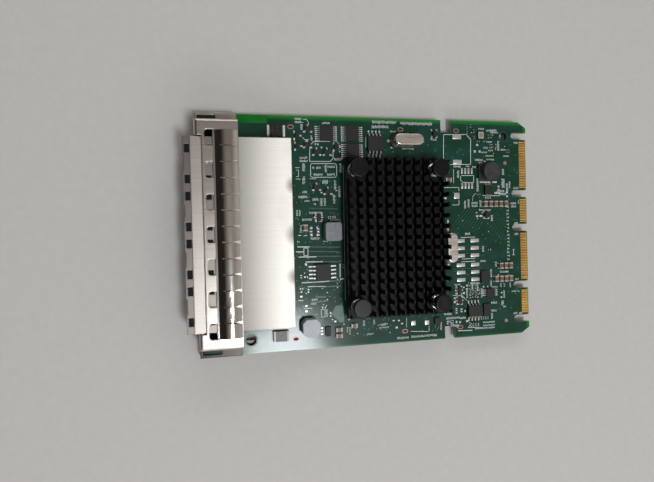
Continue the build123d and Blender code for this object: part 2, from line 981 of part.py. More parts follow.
# Bare pads: the two columns of bars, then single pads with their length and width
bar_columns = (sink_right + 7.9, sink_right + 13.4)
bar_banks = (-6.7, -15.2)
bar_rows = [y + (i - 1) * bar_pitch for y in bar_banks for i in range(bars_per_bank_count)]
single_pads = (
    ((sink_right + 7.4, side - 5.7), 3.3, 1.6),
    ((sink_right + 7.4, side - 14.5), 3.3, 1.5),
    ((sink_right + 6.9, 11.7), 2.1, 2.1),
    ((sink_x + 6.9, 6.2 - side), 1.6, 1.6),
    ((sink_x + 11.9, 6.1 - side), 1.6, 1.6),
)
empty_chip_xs = [sink_right + 9.1 + i * wide_lead_pitch for i in range(short_row_lead_count)]
empty_chip_rows = (20.4, 15.2)


def chip_leads(kind, place, angle):
    """The leads of one chip, on its place."""
    length, width, height, span, count, pitch, lead_width = kind
    leads = lead_rows(count, pitch, lead_width, width, height, span)
    return group(turned(lead, place, angle) for lead in leads)


def tiny_legs(legs_opposite):
    """The short feet of a small package: two or three on one side, the rest opposite."""
    near_count = 2 if legs_opposite < 3 else 3
    feet = []
    for s, count in ((-1, near_count), (1, legs_opposite)):
        for i in range(count):
            y = (i - (count - 1) / 2) * tiny_lead_pitch * (2 if count == 2 else 1)
            x0, x1 = sorted((s * tiny_body_width / 2, s * tiny_span / 2))
            half = tiny_lead_width / 2
            feet.append(block(x0, x1, y - half, y + half, 0, tiny_lead_height))
    return feet


def make_cap(length, width, height, end):
    """A chip part drawn along X: its body and its two end caps."""
    body = block_at(0, 0, length - 2 * end, width, 0, height)
    caps = [
        block_at(s * (length - end) / 2, 0, end, width, 0, height)
        for s in (-1, 1)
    ]
    return body, caps


nodes = {
    "circuit_board": make_board(),
    "edge_contacts_top": make_edge_contacts(0, contact_thick),
    "edge_contacts_bottom": make_edge_contacts(underside - contact_thick, underside),
    "bracket": make_bracket(),
    "bracket_contact_strip": make_contact_strip(),
    "bracket_screws": make_bracket_screws(),
    "jack_housing": make_jack_housing(),
    "jack_front_shield": make_front_shield(),
    "jack_rear_shield": make_rear_shield(),
    "jack_contacts": make_jack_contacts(),
    "jack_light_guides": make_light_guides(),
    "jack_magnetics": make_magnetics(),
    "jack_solder_pins": make_jack_tails(),
    "controller_chip": block_at(sink_x, sink_y, chip_side, chip_side, 0, chip_height),
    "thermal_pad": block_at(sink_x, sink_y, pad_side, pad_side, chip_height, sink_bottom),
    "heatsink": make_heatsink(),
    "heatsink_push_pins": make_push_pins(),
    "heatsink_push_springs": make_push_springs(),
    "square_inductor": make_square_coil(),
    "octagon_inductor": make_octagon_coil(),
    "drum_inductor_core": make_drum_core(),
    "drum_inductor_base": make_drum_base(),
    "inductor_terminals": make_coil_terminals(),
    "crystal_leads": make_crystal_leads(),
}
for name, (place, angle) in zip(("upper", "right"), crystal_places):
    nodes["crystal_can_" + name] = turned(make_crystal_can(), place, angle)
    nodes["crystal_base_" + name] = turned(make_crystal_base(), place, angle)
for name, kind, place, angle in leaded_chips:
    nodes[name] = turned(chip_body(*kind[:3]), place, angle)
    nodes[name + "_leads"] = chip_leads(kind, place, angle)

tiny_body = block_at(0, 0, tiny_body_width, tiny_body_length, lead_thick, tiny_body_height)
nodes["small_packages"] = group(turned(tiny_body, p, a) for p, a, legs in tiny_packages)
nodes["small_package_legs"] = group(
    turned(leg, p, a) for p, a, legs in tiny_packages for leg in tiny_legs(legs)
)
nodes["flat_packages"] = group(
    turned(block_at(0, 0, length, width, 0, flat_chip_height), p, 0)
    for p, length, width in flat_packages
)
cap_body, cap_ends = make_cap(cap_length, cap_width, cap_height, cap_end)
nodes["chip_capacitors"] = group(turned(cap_body, p, a) for p, a in chip_caps)
nodes["chip_capacitor_ends"] = group(turned(e, p, a) for p, a in chip_caps for e in cap_ends)
link_body, link_ends = make_cap(link_length, link_width, link_height, link_end)
nodes["link_resistor"] = turned(link_body, link_place, 0)
nodes["link_resistor_ends"] = group(turned(e, link_place, 0) for e in link_ends)
large_body, large_ends = make_cap(
    large_cap_length, large_cap_width, large_cap_height, large_cap_end
)
nodes["large_capacitor"] = turned(large_body, large_cap_place, 0)
nodes["large_capacitor_ends"] = group(turned(e, large_cap_place, 0) for e in large_ends)

bars = [
    turned(block_at(0, 0, bar_pad_length, bar_pad_width, 0, bare_pad_thick), (x, y), 0)
    for x in bar_columns
    for y in bar_rows
]
singles = [
    turned(block_at(0, 0, length, width, 0, bare_pad_thick), place, 0)
    for place, length, width in single_pads
]
empty_feet = [
    turned(block_at(0, 0, empty_foot_width, empty_foot_length, 0, bare_pad_thick), (x, y), 0)
    for x in empty_chip_xs
    for y in empty_chip_rows
]
nodes["bare_pads"] = group(bars + singles + empty_feet)

# The origin goes to the bottom centre of the whole card
boxes = [shape.bounding_box() for shape in nodes.values()]
middle_x = (min(box.min.X for box in boxes) + max(box.max.X for box in boxes)) / 2
middle_y = (min(box.min.Y for box in boxes) + max(box.max.Y for box in boxes)) / 2
lowest = min(box.min.Z for box in boxes)
to_origin = Pos(-middle_x, -middle_y, -lowest)

os.makedirs("parts", exist_ok=True)
for name, shape in nodes.items():
    export_step(to_origin * shape, os.path.join("parts", name + ".step"))
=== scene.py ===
import math
import random

import bmesh
import bpy
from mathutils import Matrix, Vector


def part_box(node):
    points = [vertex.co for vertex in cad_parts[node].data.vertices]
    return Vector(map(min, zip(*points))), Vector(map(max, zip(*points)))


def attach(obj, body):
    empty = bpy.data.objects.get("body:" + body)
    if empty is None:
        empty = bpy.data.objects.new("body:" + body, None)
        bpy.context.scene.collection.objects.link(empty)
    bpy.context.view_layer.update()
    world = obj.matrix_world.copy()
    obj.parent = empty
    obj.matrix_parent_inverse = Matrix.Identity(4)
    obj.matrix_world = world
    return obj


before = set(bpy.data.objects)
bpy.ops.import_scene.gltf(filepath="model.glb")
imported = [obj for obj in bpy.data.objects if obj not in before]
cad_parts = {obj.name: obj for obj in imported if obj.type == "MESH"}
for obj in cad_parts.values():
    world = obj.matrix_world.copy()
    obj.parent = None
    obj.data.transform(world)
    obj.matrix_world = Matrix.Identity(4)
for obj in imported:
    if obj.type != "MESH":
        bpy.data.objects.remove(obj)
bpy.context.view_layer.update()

# Bare board. A green glass-fibre board with a satin solder mask over its copper. It is darker where
# the copper planes lie and a brighter green along the rim, where there is no copper. Its sawn edges
# show the bare laminate.

mm = 0.001
board_low, board_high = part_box("circuit_board")
board_x = (board_low.x + board_high.x) / 2
board_top = board_high.z
half_length = (board_high.x - board_low.x) / 2 / mm
half_width = (board_high.y - board_low.y) / 2 / mm

mask_dark = (0.0030, 0.0400, 0.0185)
mask_light = (0.0075, 0.0510, 0.0360)
mask_rim = (0.0100, 0.2000, 0.0180)
laminate_dark = (0.085, 0.110, 0.040)
laminate_pale = (0.190, 0.200, 0.085)
bevel_gold = (0.240, 0.150, 0.035)
mask_rough = (0.34, 0.44)
weave_depth = 0.01

# How far from an edge the bright rim starts and is full, in mm. It is weaker along the near side,
# and it stops short of the bracket, at these places along the board.
rim_start, rim_full = 1.5, 0.3
near_rim_start, near_rim_full, near_rim_strength = 0.7, 0.2, 0.5
rim_hidden, rim_shown = -46.5, -46.0

# A face more level than the first is masked, one between the two is the bevel, the rest are sawn.
flat_level, bevel_level = 0.98, 0.3


def feed(target, value):
    """Give an input its value, which is a number or a colour, or a socket to link."""
    if isinstance(value, bpy.types.NodeSocket):
        target.id_data.links.new(value, target)
    else:
        target.default_value = (*value, 1) if isinstance(value, tuple) else value


def grain_group():
    """A mask of fine grain, stretched along each axis by its own count of grains per metre."""
    group = bpy.data.node_groups.new("grain", "ShaderNodeTree")
    for label, kind in (("Grains", "Vector"), ("Detail", "Float"), ("Low", "Float"), ("High", "Float")):
        group.interface.new_socket(label, in_out="INPUT", socket_type="NodeSocket" + kind)
    group.interface.new_socket("Mask", in_out="OUTPUT", socket_type="NodeSocketFloat")
    start, end = group.nodes.new("NodeGroupInput"), group.nodes.new("NodeGroupOutput")
    place = group.nodes.new("ShaderNodeTexCoord")
    stretch = group.nodes.new("ShaderNodeVectorMath")
    stretch.operation = "MULTIPLY"
    noise = group.nodes.new("ShaderNodeTexNoise")
    spread = group.nodes.new("ShaderNodeMapRange")
    feed(stretch.inputs[0], place.outputs["Object"])
    feed(stretch.inputs[1], start.outputs["Grains"])
    feed(noise.inputs["Vector"], stretch.outputs[0])
    feed(noise.inputs["Scale"], 1.0)
    feed(noise.inputs["Detail"], start.outputs["Detail"])
    feed(spread.inputs["Value"], noise.outputs[0])
    feed(spread.inputs["From Min"], start.outputs["Low"])
    feed(spread.inputs["From Max"], start.outputs["High"])
    feed(end.inputs["Mask"], spread.outputs[0])
    return group


grain = grain_group()


def start_material(name, metal=0.0, gloss=0.5):
    """A material with its nodes and its principled shader."""
    material = bpy.data.materials.new(name)
    material.use_nodes = True
    nodes = material.node_tree.nodes
    shader = nodes["Principled BSDF"]
    feed(shader.inputs["Metallic"], metal)
    feed(shader.inputs["Specular IOR Level"], gloss)
    return material, nodes, shader


def split_axes(nodes, place):
    """The three parts of a place or a direction."""
    axes = nodes.new("ShaderNodeSeparateXYZ")
    feed(axes.inputs[0], place)
    return axes.outputs


def add_grain(nodes, grains, low=0.3, high=0.7, detail=3.0):
    """The grain group, placed in a material with its own values. One number serves all three axes."""
    node = nodes.new("ShaderNodeGroup")
    node.node_tree = grain
    node.inputs["Grains"].default_value = grains if isinstance(grains, tuple) else (grains,) * 3
    feed(node.inputs["Detail"], detail)
    feed(node.inputs["Low"], low)
    feed(node.inputs["High"], high)
    return node.outputs["Mask"]


def mix_colours(mask, first, second):
    """A colour between two others, each a colour or a socket. The node takes them as inputs 6 and 7."""
    mix = mask.id_data.nodes.new("ShaderNodeMix")
    mix.data_type = "RGBA"
    for place, value in ((0, mask), (6, first), (7, second)):
        feed(mix.inputs[place], value)
    return mix.outputs[2]


def range_of(value, low, high, to_low=0, to_high=1):
    """A value moved from one range to another, and held inside it."""
    node = value.id_data.nodes.new("ShaderNodeMapRange")
    feed(node.inputs["Value"], value)
    limits = {"From Min": low, "From Max": high, "To Min": to_low, "To Max": to_high}
    for label, number in limits.items():
        feed(node.inputs[label], number)
    return node.outputs[0]


def bump_from(shader, height, distance, strength=1.0, edge=0.0):
    """Bump on the shader's normal, over softly rounded edges where a radius is given."""
    bump = height.id_data.nodes.new("ShaderNodeBump")
    feed(bump.inputs["Strength"], strength)
    feed(bump.inputs["Distance"], distance)
    feed(bump.inputs["Height"], height)
    if edge:
        rounded = height.id_data.nodes.new("ShaderNodeBevel")
        rounded.samples = 4
        feed(rounded.inputs["Radius"], edge)
        feed(bump.inputs["Normal"], rounded.outputs[0])
    feed(shader.inputs["Normal"], bump.outputs[0])


def math_node(operation, first, second=None):
    """One sum on a socket, with a second socket or a number where it needs one."""
    node = first.id_data.nodes.new("ShaderNodeMath")
    node.operation = operation
    feed(node.inputs[0], first)
    if second is not None:
        feed(node.inputs[1], second)
    return node.outputs[0]


def board_material():
    """Solder mask on the flat faces, laminate on the sawn edges, worn gold on the bevel."""
    material, nodes, shader = start_material("solder_mask", gloss=0.1)
    feed(shader.inputs["Coat Weight"], 0.6)
    feed(shader.inputs["Coat Roughness"], 0.13)
    axes = split_axes(nodes, nodes.new("ShaderNodeTexCoord").outputs["Object"])
    x, y = axes["X"], axes["Y"]
    from_middle = math_node("ABSOLUTE", math_node("SUBTRACT", x, board_x))
    ends = range_of(from_middle, (half_length - rim_start) * mm, (half_length - rim_full) * mm)
    far_side = range_of(y, (half_width - rim_start) * mm, (half_width - rim_full) * mm)
    near_from, near_to = (near_rim_start - half_width) * mm, (near_rim_full - half_width) * mm
    near_side = range_of(y, near_from, near_to, to_high=near_rim_strength)
    clear_of_bracket = range_of(x, board_x + rim_hidden * mm, board_x + rim_shown * mm)
    rim = math_node("MAXIMUM", ends, far_side)
    rim = math_node("MAXIMUM", rim, near_side)
    rim = math_node("MULTIPLY", rim, clear_of_bracket)
    pours = add_grain(nodes, (130, 210, 100), low=0.42, high=0.58, detail=2.0)
    weave = add_grain(nodes, (2600, 2600, 900), detail=2.0)
    layers = add_grain(nodes, (300, 300, 9000), low=0.35, high=0.65, detail=1.0)
    inner = mix_colours(pours, mask_dark, mask_light)
    mask = mix_colours(rim, inner, mask_rim)
    sawn = mix_colours(layers, laminate_dark, laminate_pale)
    facing = split_axes(nodes, nodes.new("ShaderNodeNewGeometry").outputs["True Normal"])
    level = math_node("ABSOLUTE", facing["Z"])
    flat = math_node("GREATER_THAN", level, flat_level)
    bevelled = math_node("GREATER_THAN", level, bevel_level)
    edge_colour = mix_colours(bevelled, sawn, bevel_gold)
    feed(shader.inputs["Base Color"], mix_colours(flat, edge_colour, mask))
    feed(shader.inputs["Roughness"], range_of(weave, 0, 1, *mask_rough))
    bump_from(shader, weave, weave_depth * mm, strength=0.35)
    return material


def dress(node, material):
    """Give a carried-over node its finish."""
    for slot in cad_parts[node].material_slots:
        slot.material = material


dress("circuit_board", board_material())


# Copper and print on the board. Tracks and filled areas show as slightly raised, lighter green
# lines under the mask, the rings and round marks are bare copper, and the thin lines and ticks
# are white print.

copper_height = 0.02
print_height = 0.03
sunk = 0.01
square_corners = ((-1, -1), (1, -1), (1, 1), (-1, 1))


def on_board(x, y, z=0.0):
    """A point given in mm from the centre of the board's top face, in metres."""
    return board_x + x * mm, y * mm, board_top + z * mm


def add_prism(verts, faces, outline, z0, z1):
    """A flat outline in mm, raised between two heights, added to a mesh's lists."""
    first, count = len(verts), len(outline)
    verts += [on_board(x, y, z0) for x, y in outline]
    verts += [on_board(x, y, z1) for x, y in outline]
    faces.append(tuple(first + i for i in reversed(range(count))))
    faces.append(tuple(first + count + i for i in range(count)))
    for i in range(count):
        j = (i + 1) % count
        faces.append((first + i, first + j, first + count + j, first + count + i))


def bar(x, y, length, width, angle=0.0):
    """The outline of a rectangle about its centre, turned by an angle in degrees."""
    c, s = math.cos(math.radians(angle)), math.sin(math.radians(angle))
    spots = [(i * length / 2, j * width / 2) for i, j in square_corners]
    return [(x + u * c - v * s, y + u * s + v * c) for u, v in spots]


def disc(x, y, diameter, sides=20, width=None):
    """The outline of a round pad, or of a long one with round ends where a smaller width is given."""
    radius = (width or diameter) / 2
    stretch = diameter / 2 - radius
    step = 2 * math.pi / sides
    outline = []
    for i in range(sides):
        along, across = math.cos((i + 0.5) * step), math.sin((i + 0.5) * step)
        outline.append((x + along * radius + math.copysign(stretch, along), y + across * radius))
    return outline


def stroke(run, width):
    """Rectangles along a run of x and y values, each with its ends squared past the corner."""
    points = list(zip(run[::2], run[1::2]))
    for (x0, y0), (x1, y1) in zip(points, points[1:]):
        length = math.hypot(x1 - x0, y1 - y0) + width
        angle = math.degrees(math.atan2(y1 - y0, x1 - x0))
        yield bar((x0 + x1) / 2, (y0 + y1) / 2, length, width, angle)


def mesh_piece(name, verts, faces, material, smooth=False):
    """A piece of the card from a mesh's lists, riding on the card's one body."""
    mesh = bpy.data.meshes.new(name)
    mesh.from_pydata(verts, [], faces)
    mesh.materials.append(material)
    if smooth:
        mesh.shade_smooth()
    piece = bpy.data.objects.new(name, mesh)
    bpy.context.scene.collection.objects.link(piece)
    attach(piece, "root")


def flat_piece(name, outlines, z1, material, z0=-sunk):
    """One piece made of many flat outlines on the board."""
    verts, faces = [], []
    for outline in outlines:
        add_prism(verts, faces, outline, z0, z1)
    mesh_piece(name, verts, faces, material)


def plain_material(name, dark, light, rough, grains, metal=0.0, bump=0.0, edge=0.0, gloss=0.5):
    """A finish of two close colours in fine grain, with its own range of roughness.

    The height of the grain and the radius of the softened edges are in mm."""
    material, nodes, shader = start_material(name, metal, gloss)
    mask = add_grain(nodes, grains)
    feed(shader.inputs["Base Color"], mix_colours(mask, dark, light))
    feed(shader.inputs["Roughness"], range_of(mask, 0, 1, *rough))
    bump_from(shader, mask, bump * mm, 1.0 if bump else 0.0, edge * mm)
    return material


silk_material = plain_material(
    "white_print", (0.54, 0.60, 0.57), (0.76, 0.80, 0.77), rough=(0.5, 0.7), grains=3000
)
track_material = plain_material(
    "masked_copper", (0.020, 0.075, 0.050), (0.034, 0.105, 0.072), rough=(0.28, 0.4), grains=900
)
via_material = plain_material(
    "tented_vias", (0.080, 0.150, 0.125), (0.140, 0.240, 0.205), rough=(0.28, 0.4), grains=2000
)
# Near black: painted shade inside the mounting holes, on their plated barrels.
barrel_shade_material = plain_material(
    "barrel_painted_shade", (0.010, 0.006, 0.005), (0.020, 0.012, 0.010), rough=(0.5, 0.7), grains=2000, metal=0.3
)
copper_material = plain_material(
    "bare_copper", (0.34, 0.16, 0.145), (0.44, 0.23, 0.21), rough=(0.35, 0.5), grains=2500, metal=0.4
)
# Near black: painted shade in the open tooling slots.
slot_shade_material = plain_material(
    "slot_painted_shade", (0.003, 0.002, 0.002), (0.008, 0.006, 0.006), rough=(0.6, 0.8), grains=3000
)

# Rows of short printed marks beside the parts: where each is and its size in X and Y. A row runs
# along its longer side.
captions = (
    (-25.9, 37.0, 2.3, 0.6), (-25.9, 36.0, 2.2, 0.6), (-24.8, 34.4, 0.7, 1.9), (-21.6, 30.9, 0.6, 1.7),
    (-16.6, 35.9, 2.7, 0.7), (-24.4, 24.4, 2.6, 0.7), (-24.4, 23.4, 2.7, 0.6), (-12.8, 24.1, 2.8, 0.8),
    (-21.2, 21.2, 0.7, 0.6), (-19.5, 21.2, 1.7, 0.7), (-17.1, 21.0, 0.7, 2.6), (-15.2, 21.6, 2.6, 0.7),
    (-19.7, 19.0, 3.0, 0.7), (-15.3, 19.0, 2.7, 0.7), (-17.4, 16.6, 2.0, 1.2), (-14.0, 15.6, 0.7, 3.0),
    (-12.6, 13.6, 0.7, 3.4), (-24.3, 13.3, 1.6, 0.7), (-24.9, 11.7, 3.0, 0.8), (-23.6, 10.4, 1.8, 0.5),
    (-20.8, 10.8, 2.0, 0.8), (-18.8, 10.0, 0.7, 2.6), (-17.6, 10.0, 0.7, 2.6), (-14.5, 10.9, 0.7, 3.0),
    (-20.7, 6.5, 4.6, 0.6), (-27.0, 6.5, 0.5, 2.0), (-26.1, 6.5, 0.5, 2.0), (-23.8, 4.3, 3.3, 0.7),
    (-14.7, 5.0, 1.4, 0.7), (-14.7, 4.1, 2.7, 0.5), (-25.9, 1.3, 0.5, 2.6), (-21.2, -1.9, 3.1, 0.7),
    (-26.8, -2.8, 1.0, 0.6), (-24.4, 21.3, 0.9, 2.6), (-24.5, 17.1, 0.9, 2.6), (-12.0, 21.2, 0.7, 3.0),
    (-17.9, -26.6, 0.7, 2.6), (-21.9, -22.0, 2.0, 0.7), (-22.3, -23.2, 2.0, 0.7),
    (-22.4, -26.8, 2.6, 0.4), (39.8, 35.3, 2.3, 0.5), (43.9, 34.8, 4.0, 0.7), (44.9, 34.1, 3.2, 0.5),
    (42.8, 30.7, 2.4, 0.5), (46.4, 29.4, 0.7, 3.6), (41.4, 28.6, 1.8, 0.6), (43.3, 27.7, 2.0, 0.5),
    (40.8, 27.0, 2.4, 0.5), (48.3, 28.0, 2.0, 0.5), (49.5, 25.8, 2.4, 0.5), (42.9, 25.8, 3.2, 0.5),
    (38.7, 24.3, 3.1, 0.7), (43.1, 24.5, 3.1, 0.5), (53.4, 30.6, 1.6, 0.6), (34.2, 22.0, 1.5, 0.5),
    (36.7, 21.8, 1.5, 0.6), (30.2, 21.9, 2.7, 0.7), (30.5, 19.3, 0.7, 2.5), (48.1, 20.1, 0.8, 2.2),
    (37.9, 15.5, 0.8, 4.7), (48.0, 16.1, 1.2, 3.2), (32.9, 8.6, 0.7, 2.8), (34.3, 9.0, 0.7, 2.9),
    (36.6, 9.1, 2.3, 0.7), (36.6, 8.1, 2.3, 0.7), (38.9, 8.9, 0.8, 2.5), (52.1, 8.8, 2.1, 0.7),
    (52.1, 7.7, 2.0, 0.7), (54.1, 9.3, 0.5, 1.4), (40.6, 6.6, 4.7, 0.5), (43.3, 3.7, 0.8, 2.2),
    (33.6, -1.7, 2.0, 0.7), (39.5, -7.2, 0.8, 2.1), (39.4, -11.5, 2.0, 0.7), (53.2, 14.3, 2.1, 0.7),
    (52.9, 1.7, 1.6, 0.7), (53.0, -2.2, 1.6, 0.7), (52.8, -18.5, 1.4, 0.5), (51.5, -22.8, 2.0, 0.5),
    (53.4, -22.9, 0.8, 0.5), (51.9, -30.7, 1.6, 0.7), (54.0, -30.9, 1.2, 0.7), (44.5, -12.8, 0.7, 1.8),
    (47.7, -15.6, 3.6, 0.7), (42.5, -15.9, 0.6, 2.9), (42.4, -19.4, 0.6, 2.2), (43.7, -20.9, 2.4, 0.5),
    (46.3, -20.4, 0.6, 1.4), (47.7, -20.4, 0.6, 1.4), (50.0, -20.5, 0.6, 1.8), (29.3, -19.4, 2.3, 0.5),
    (36.1, -19.3, 3.9, 0.5), (43.4, -26.5, 2.4, 0.7), (46.8, -26.8, 1.0, 1.8), (47.6, -28.1, 1.2, 0.5),
    (43.1, -29.3, 2.4, 0.7), (42.5, -31.2, 0.6, 2.2), (47.5, -23.6, 0.7, 2.8), (25.4, -29.5, 3.0, 0.7),
    (27.3, -31.0, 5.3, 0.7), (31.1, -31.2, 2.3, 0.7), (41.2, -33.3, 4.7, 0.5), (41.2, -34.4, 4.8, 0.5),
    (39.6, -35.3, 7.8, 0.5), (28.0, -33.7, 3.0, 0.6), (-3.2, -34.5, 2.5, 0.6), (1.8, -32.6, 3.5, 0.5),
    (1.8, -31.5, 2.8, 0.4), (-5.2, -30.7, 0.7, 2.0), (-10.2, -33.0, 0.5, 2.6), (-11.0, -32.6, 0.5, 2.0),
    (6.7, 33.6, 2.2, 0.5), (21.5, 31.2, 2.3, 0.6), (12.0, 27.9, 4.4, 0.5), (3.6, 36.7, 8.6, 0.95),
    (15.2, 36.5, 11.8, 0.95), (2.1, 35.1, 6.0, 0.95), (8.5, -36.6, 4.3, 0.7), (16.3, -36.5, 9.6, 0.7),
    (22.7, -33.5, 0.6, 2.8), (0.5, 27.6, 0.6, 2.0), (1.5, -31.8, 1.8, 0.5), (-1.7, -30.6, 0.6, 1.7),
    (46.9, 13.3, 3.0, 0.7), (47.8, 12.2, 3.0, 0.7), (49.6, 14.5, 0.8, 3.2), (50.6, 15.5, 0.6, 2.5),
    (35.0, -20.2, 0.6, 3.0), (37.0, -20.5, 0.6, 3.0), (38.6, -22.8, 0.6, 3.4), (32.9, -22.5, 0.6, 3.4),
)

# Printed lines round and between parts, under the width that they share. Each is a run of x and
# y values, corner after corner.
printed_lines = {
    0.16: (
        (-24.2, 36.9, -23.2, 37.0, -22.5, 36.1, -22.4, 35.4), (-25.2, 35.8, -24.2, 35.9),
        (-24.5, 31.0, -23.8, 30.3, -22.5, 30.4), (-22.4, 17.6, -20.4, 17.6), (-27.1, 21.2, -25.8, 21.2),
        (-26.9, 20.4, -26.1, 20.4, -26.2, 18.3, -26.9, 18.3), (-27.1, 17.5, -25.7, 17.5),
        (-19.8, 3.6, -18.8, 3.6), (-16.6, 5.2, -15.7, 5.2, -15.8, 4.5, -16.6, 4.5, -16.6, 5.2),
        (-3.0, 31.4, -3.1, 28.2), (28.8, 20.9, 28.7, 16.2), (24.3, 14.6, 30.7, 14.6, 30.7, 13.4),
        (30.6, 10.2, 30.6, 8.5, 28.1, 8.5), (27.5, -23.1, 30.9, -23.3, 32.6, -25.0),
        (39.8, 11.7, 46.7, 11.6), (40.6, 3.6, 42.1, 3.5), (10.0, -29.9, 9.9, -33.0),
        (18.2, -35.0, 18.2, -33.2), (2.5, -31.2, -0.3, -31.8), (29.1, -34.5, 25.4, -31.8),
    ),
    0.2: (
        (-22.4, 23.3, -22.2, 28.4, -21.1, 29.6, -20.4, 29.8, -15.4, 29.9),
        (-22.4, 23.3, -15.5, 23.3, -14.5, 24.3, -14.4, 26.8), (-26.7, -0.8, -25.9, -0.8),
        (-24.9, -0.9, -23.9, -0.9), (-18.5, -2.9, -17.1, -3.0),
        (-25.0, -4.9, -23.7, -5.0, -23.7, -7.4, -25.1, -7.4, -25.0, -4.9), (-26.9, -26.7, -21.2, -26.9),
        (24.9, 18.1, 24.9, 16.9), (51.7, -7.8, 51.6, -9.7), (51.4, -7.8, 52.0, -7.8),
        (51.3, -9.7, 52.0, -9.7), (11.5, -34.6, 17.8, -35.1),
    ),
    0.18: (
        (-21.8, 22.6, -13.8, 22.6, -13.3, 22.2, -13.4, 18.7, -13.9, 18.1,
         -21.7, 18.1, -22.2, 18.5, -22.1, 22.1, -21.8, 22.6),
        (-19.8, -25.3, -18.5, -25.4, -18.6, -27.8, -19.8, -27.8, -19.8, -25.3),
        (25.0, 22.6, 25.3, 33.0, 33.9, 33.2, 35.6, 31.5, 35.4, 22.7, 27.7, 22.6),
        (31.8, 18.8, 36.5, 18.8, 36.4, 16.3, 32.3, 16.4, 31.4, 17.2, 31.4, 18.4, 31.8, 18.8),
        (31.1, -3.0, 33.8, -2.9, 36.5, -2.9), (31.3, -10.5, 36.3, -10.4), (31.1, -11.5, 36.3, -11.4),
        (33.0, -34.7, 38.4, -35.1),
    ),
    0.3: (
        (-25.9, -16.2, -22.3, -16.2), (-22.3, -16.2, -16.9, -16.1), (-27.2, -21.9, -25.8, -22.0),
        (-13.0, -10.6, -13.1, -14.9),
    ),
    0.28: ((-24.0, -17.6, -21.3, -17.6), (-21.3, -17.6, -18.3, -17.8), (-25.5, -24.6, -22.9, -24.7)),
    0.14: ((-11.1, 21.9, -11.5, -22.6), (37.1, 12.5, 36.0, 11.6, 35.9, 9.8)),
    0.25: ((29.3, -35.6, 34.5, -35.8),),
    0.32: (
        (-27.0, -4.5, -23.3, -4.6), (-27.4, -6.1, -25.4, -6.2), (-26.7, -7.8, -21.1, -7.9),
        (-24.4, -9.5, -19.1, -9.6),
    ),
}

# Tracks that show through the mask, in the same way.
shown_tracks = {
    0.35: (
        (-23.3, -4.6, -12.9, -5.0), (-23.4, -6.1, -13.6, -6.5), (-21.1, -7.8, -12.9, -8.0),
        (-19.1, -9.6, -13.0, -9.8),
    ),
    0.4: ((-22.7, 8.0, -13.6, 7.7), (-16.9, -16.1, -13.2, -16.1), (-18.3, -17.8, -13.2, -17.9)),
    0.5: ((-21.4, -21.1, -18.4, -21.2),),
    0.45: ((-21.1, -22.7, -17.8, -22.6),),
    0.2: ((24.5, -13.9, 39.0, -13.9),),
}

# Each row is made of upright marks with a short cross stroke on each. Heights and the places of
# the strokes are shares of the row's and the mark's height.
mark_pitch, mark_width = 0.40, 0.19
mark_heights = (0.77, 0.99, 1.1)
stroke_places = (-0.4, 0.0, 0.4)
stroke_share = 0.8
random.seed(11)
silk = []
for row_x, row_y, size_x, size_y in captions:
    row_length, row_height = max(size_x, size_y), min(size_x, size_y)
    row_turn = 90 if size_y > size_x else 0
    turn_cos, turn_sin = math.cos(math.radians(row_turn)), math.sin(math.radians(row_turn))
    mark_count = max(2, round(row_length / mark_pitch))
    for i in range(mark_count):
        along = (i + 0.5) * row_length / mark_count - row_length / 2
        height = row_height * random.choice(mark_heights)
        up = (row_height - height) / 2 * random.choice((-1, 1))
        mark_x = row_x + along * turn_cos - up * turn_sin
        mark_y = row_y + along * turn_sin + up * turn_cos
        silk.append(bar(mark_x, mark_y, mark_width, height, row_turn))
        shift = height * random.choice(stroke_places)
        stroke_x, stroke_y = mark_x - shift * turn_sin, mark_y + shift * turn_cos
        silk.append(bar(stroke_x, stroke_y, mark_pitch * stroke_share, mark_width * stroke_share, row_turn))
for line_width, runs in printed_lines.items():
    for run in runs:
        silk.extend(stroke(run, line_width))

# A column of larger marks beside the gold edge, each a bar with an upright on one side of it.
column_x, column_y, column_step, column_count = 49.6, -11.2, 1.25, 16
column_bar, column_upright, column_line, column_shift = 0.85, 0.75, 0.2, 0.3
for i in range(column_count):
    mark_y = column_y + column_step * i
    silk.append(bar(column_x, mark_y, column_bar, column_line))
    upright_x = column_x + random.choice((-column_shift, column_shift))
    silk.append(bar(upright_x, mark_y, column_line, column_upright))

tracks = []
for line_width, runs in shown_tracks.items():
    for run in runs:
        tracks.extend(stroke(run, line_width))

# Fans of fine tracks: how many, the ends of the first, and the step of each value to the next.
track_fans = (
    (9, (33.5, 7.6, 28.6, 2.2), (1.1, -0.2, 1.0, -0.5)),
    (8, (40.5, 1.9, 45.5, 6.0), (0.9, -0.9, 0.5, -0.5)),
)
fine_width = 0.12
for track_count, ends, steps in track_fans:
    for i in range(track_count):
        run = [value + step * i for value, step in zip(ends, steps)]
        tracks.extend(stroke(run, fine_width))
filled_area = [
    (-14.9, -24.4), (-12.8, -24.2), (-12.0, -25.2), (-12.1, -30.0),
    (-13.5, -29.9), (-14.8, -28.5), (-16.2, -27.0),
]
tracks.append(filled_area)

# Covered vias lie scattered over four areas, each with its limits in X and Y and their number.
via_areas = (
    (-28, -12.5, -30, 22, 150), (24, 54, -30, 30, 170), (-10, 23, 25, 34, 40), (-10, 23, -35, -29, 45),
)
via_size, via_sides = 0.36, 8
random.seed(7)
vias = []
for low_x, high_x, low_y, high_y, via_count in via_areas:
    for i in range(via_count):
        spot = random.uniform(low_x, high_x), random.uniform(low_y, high_y)
        vias.append(disc(*spot, via_size, via_sides))
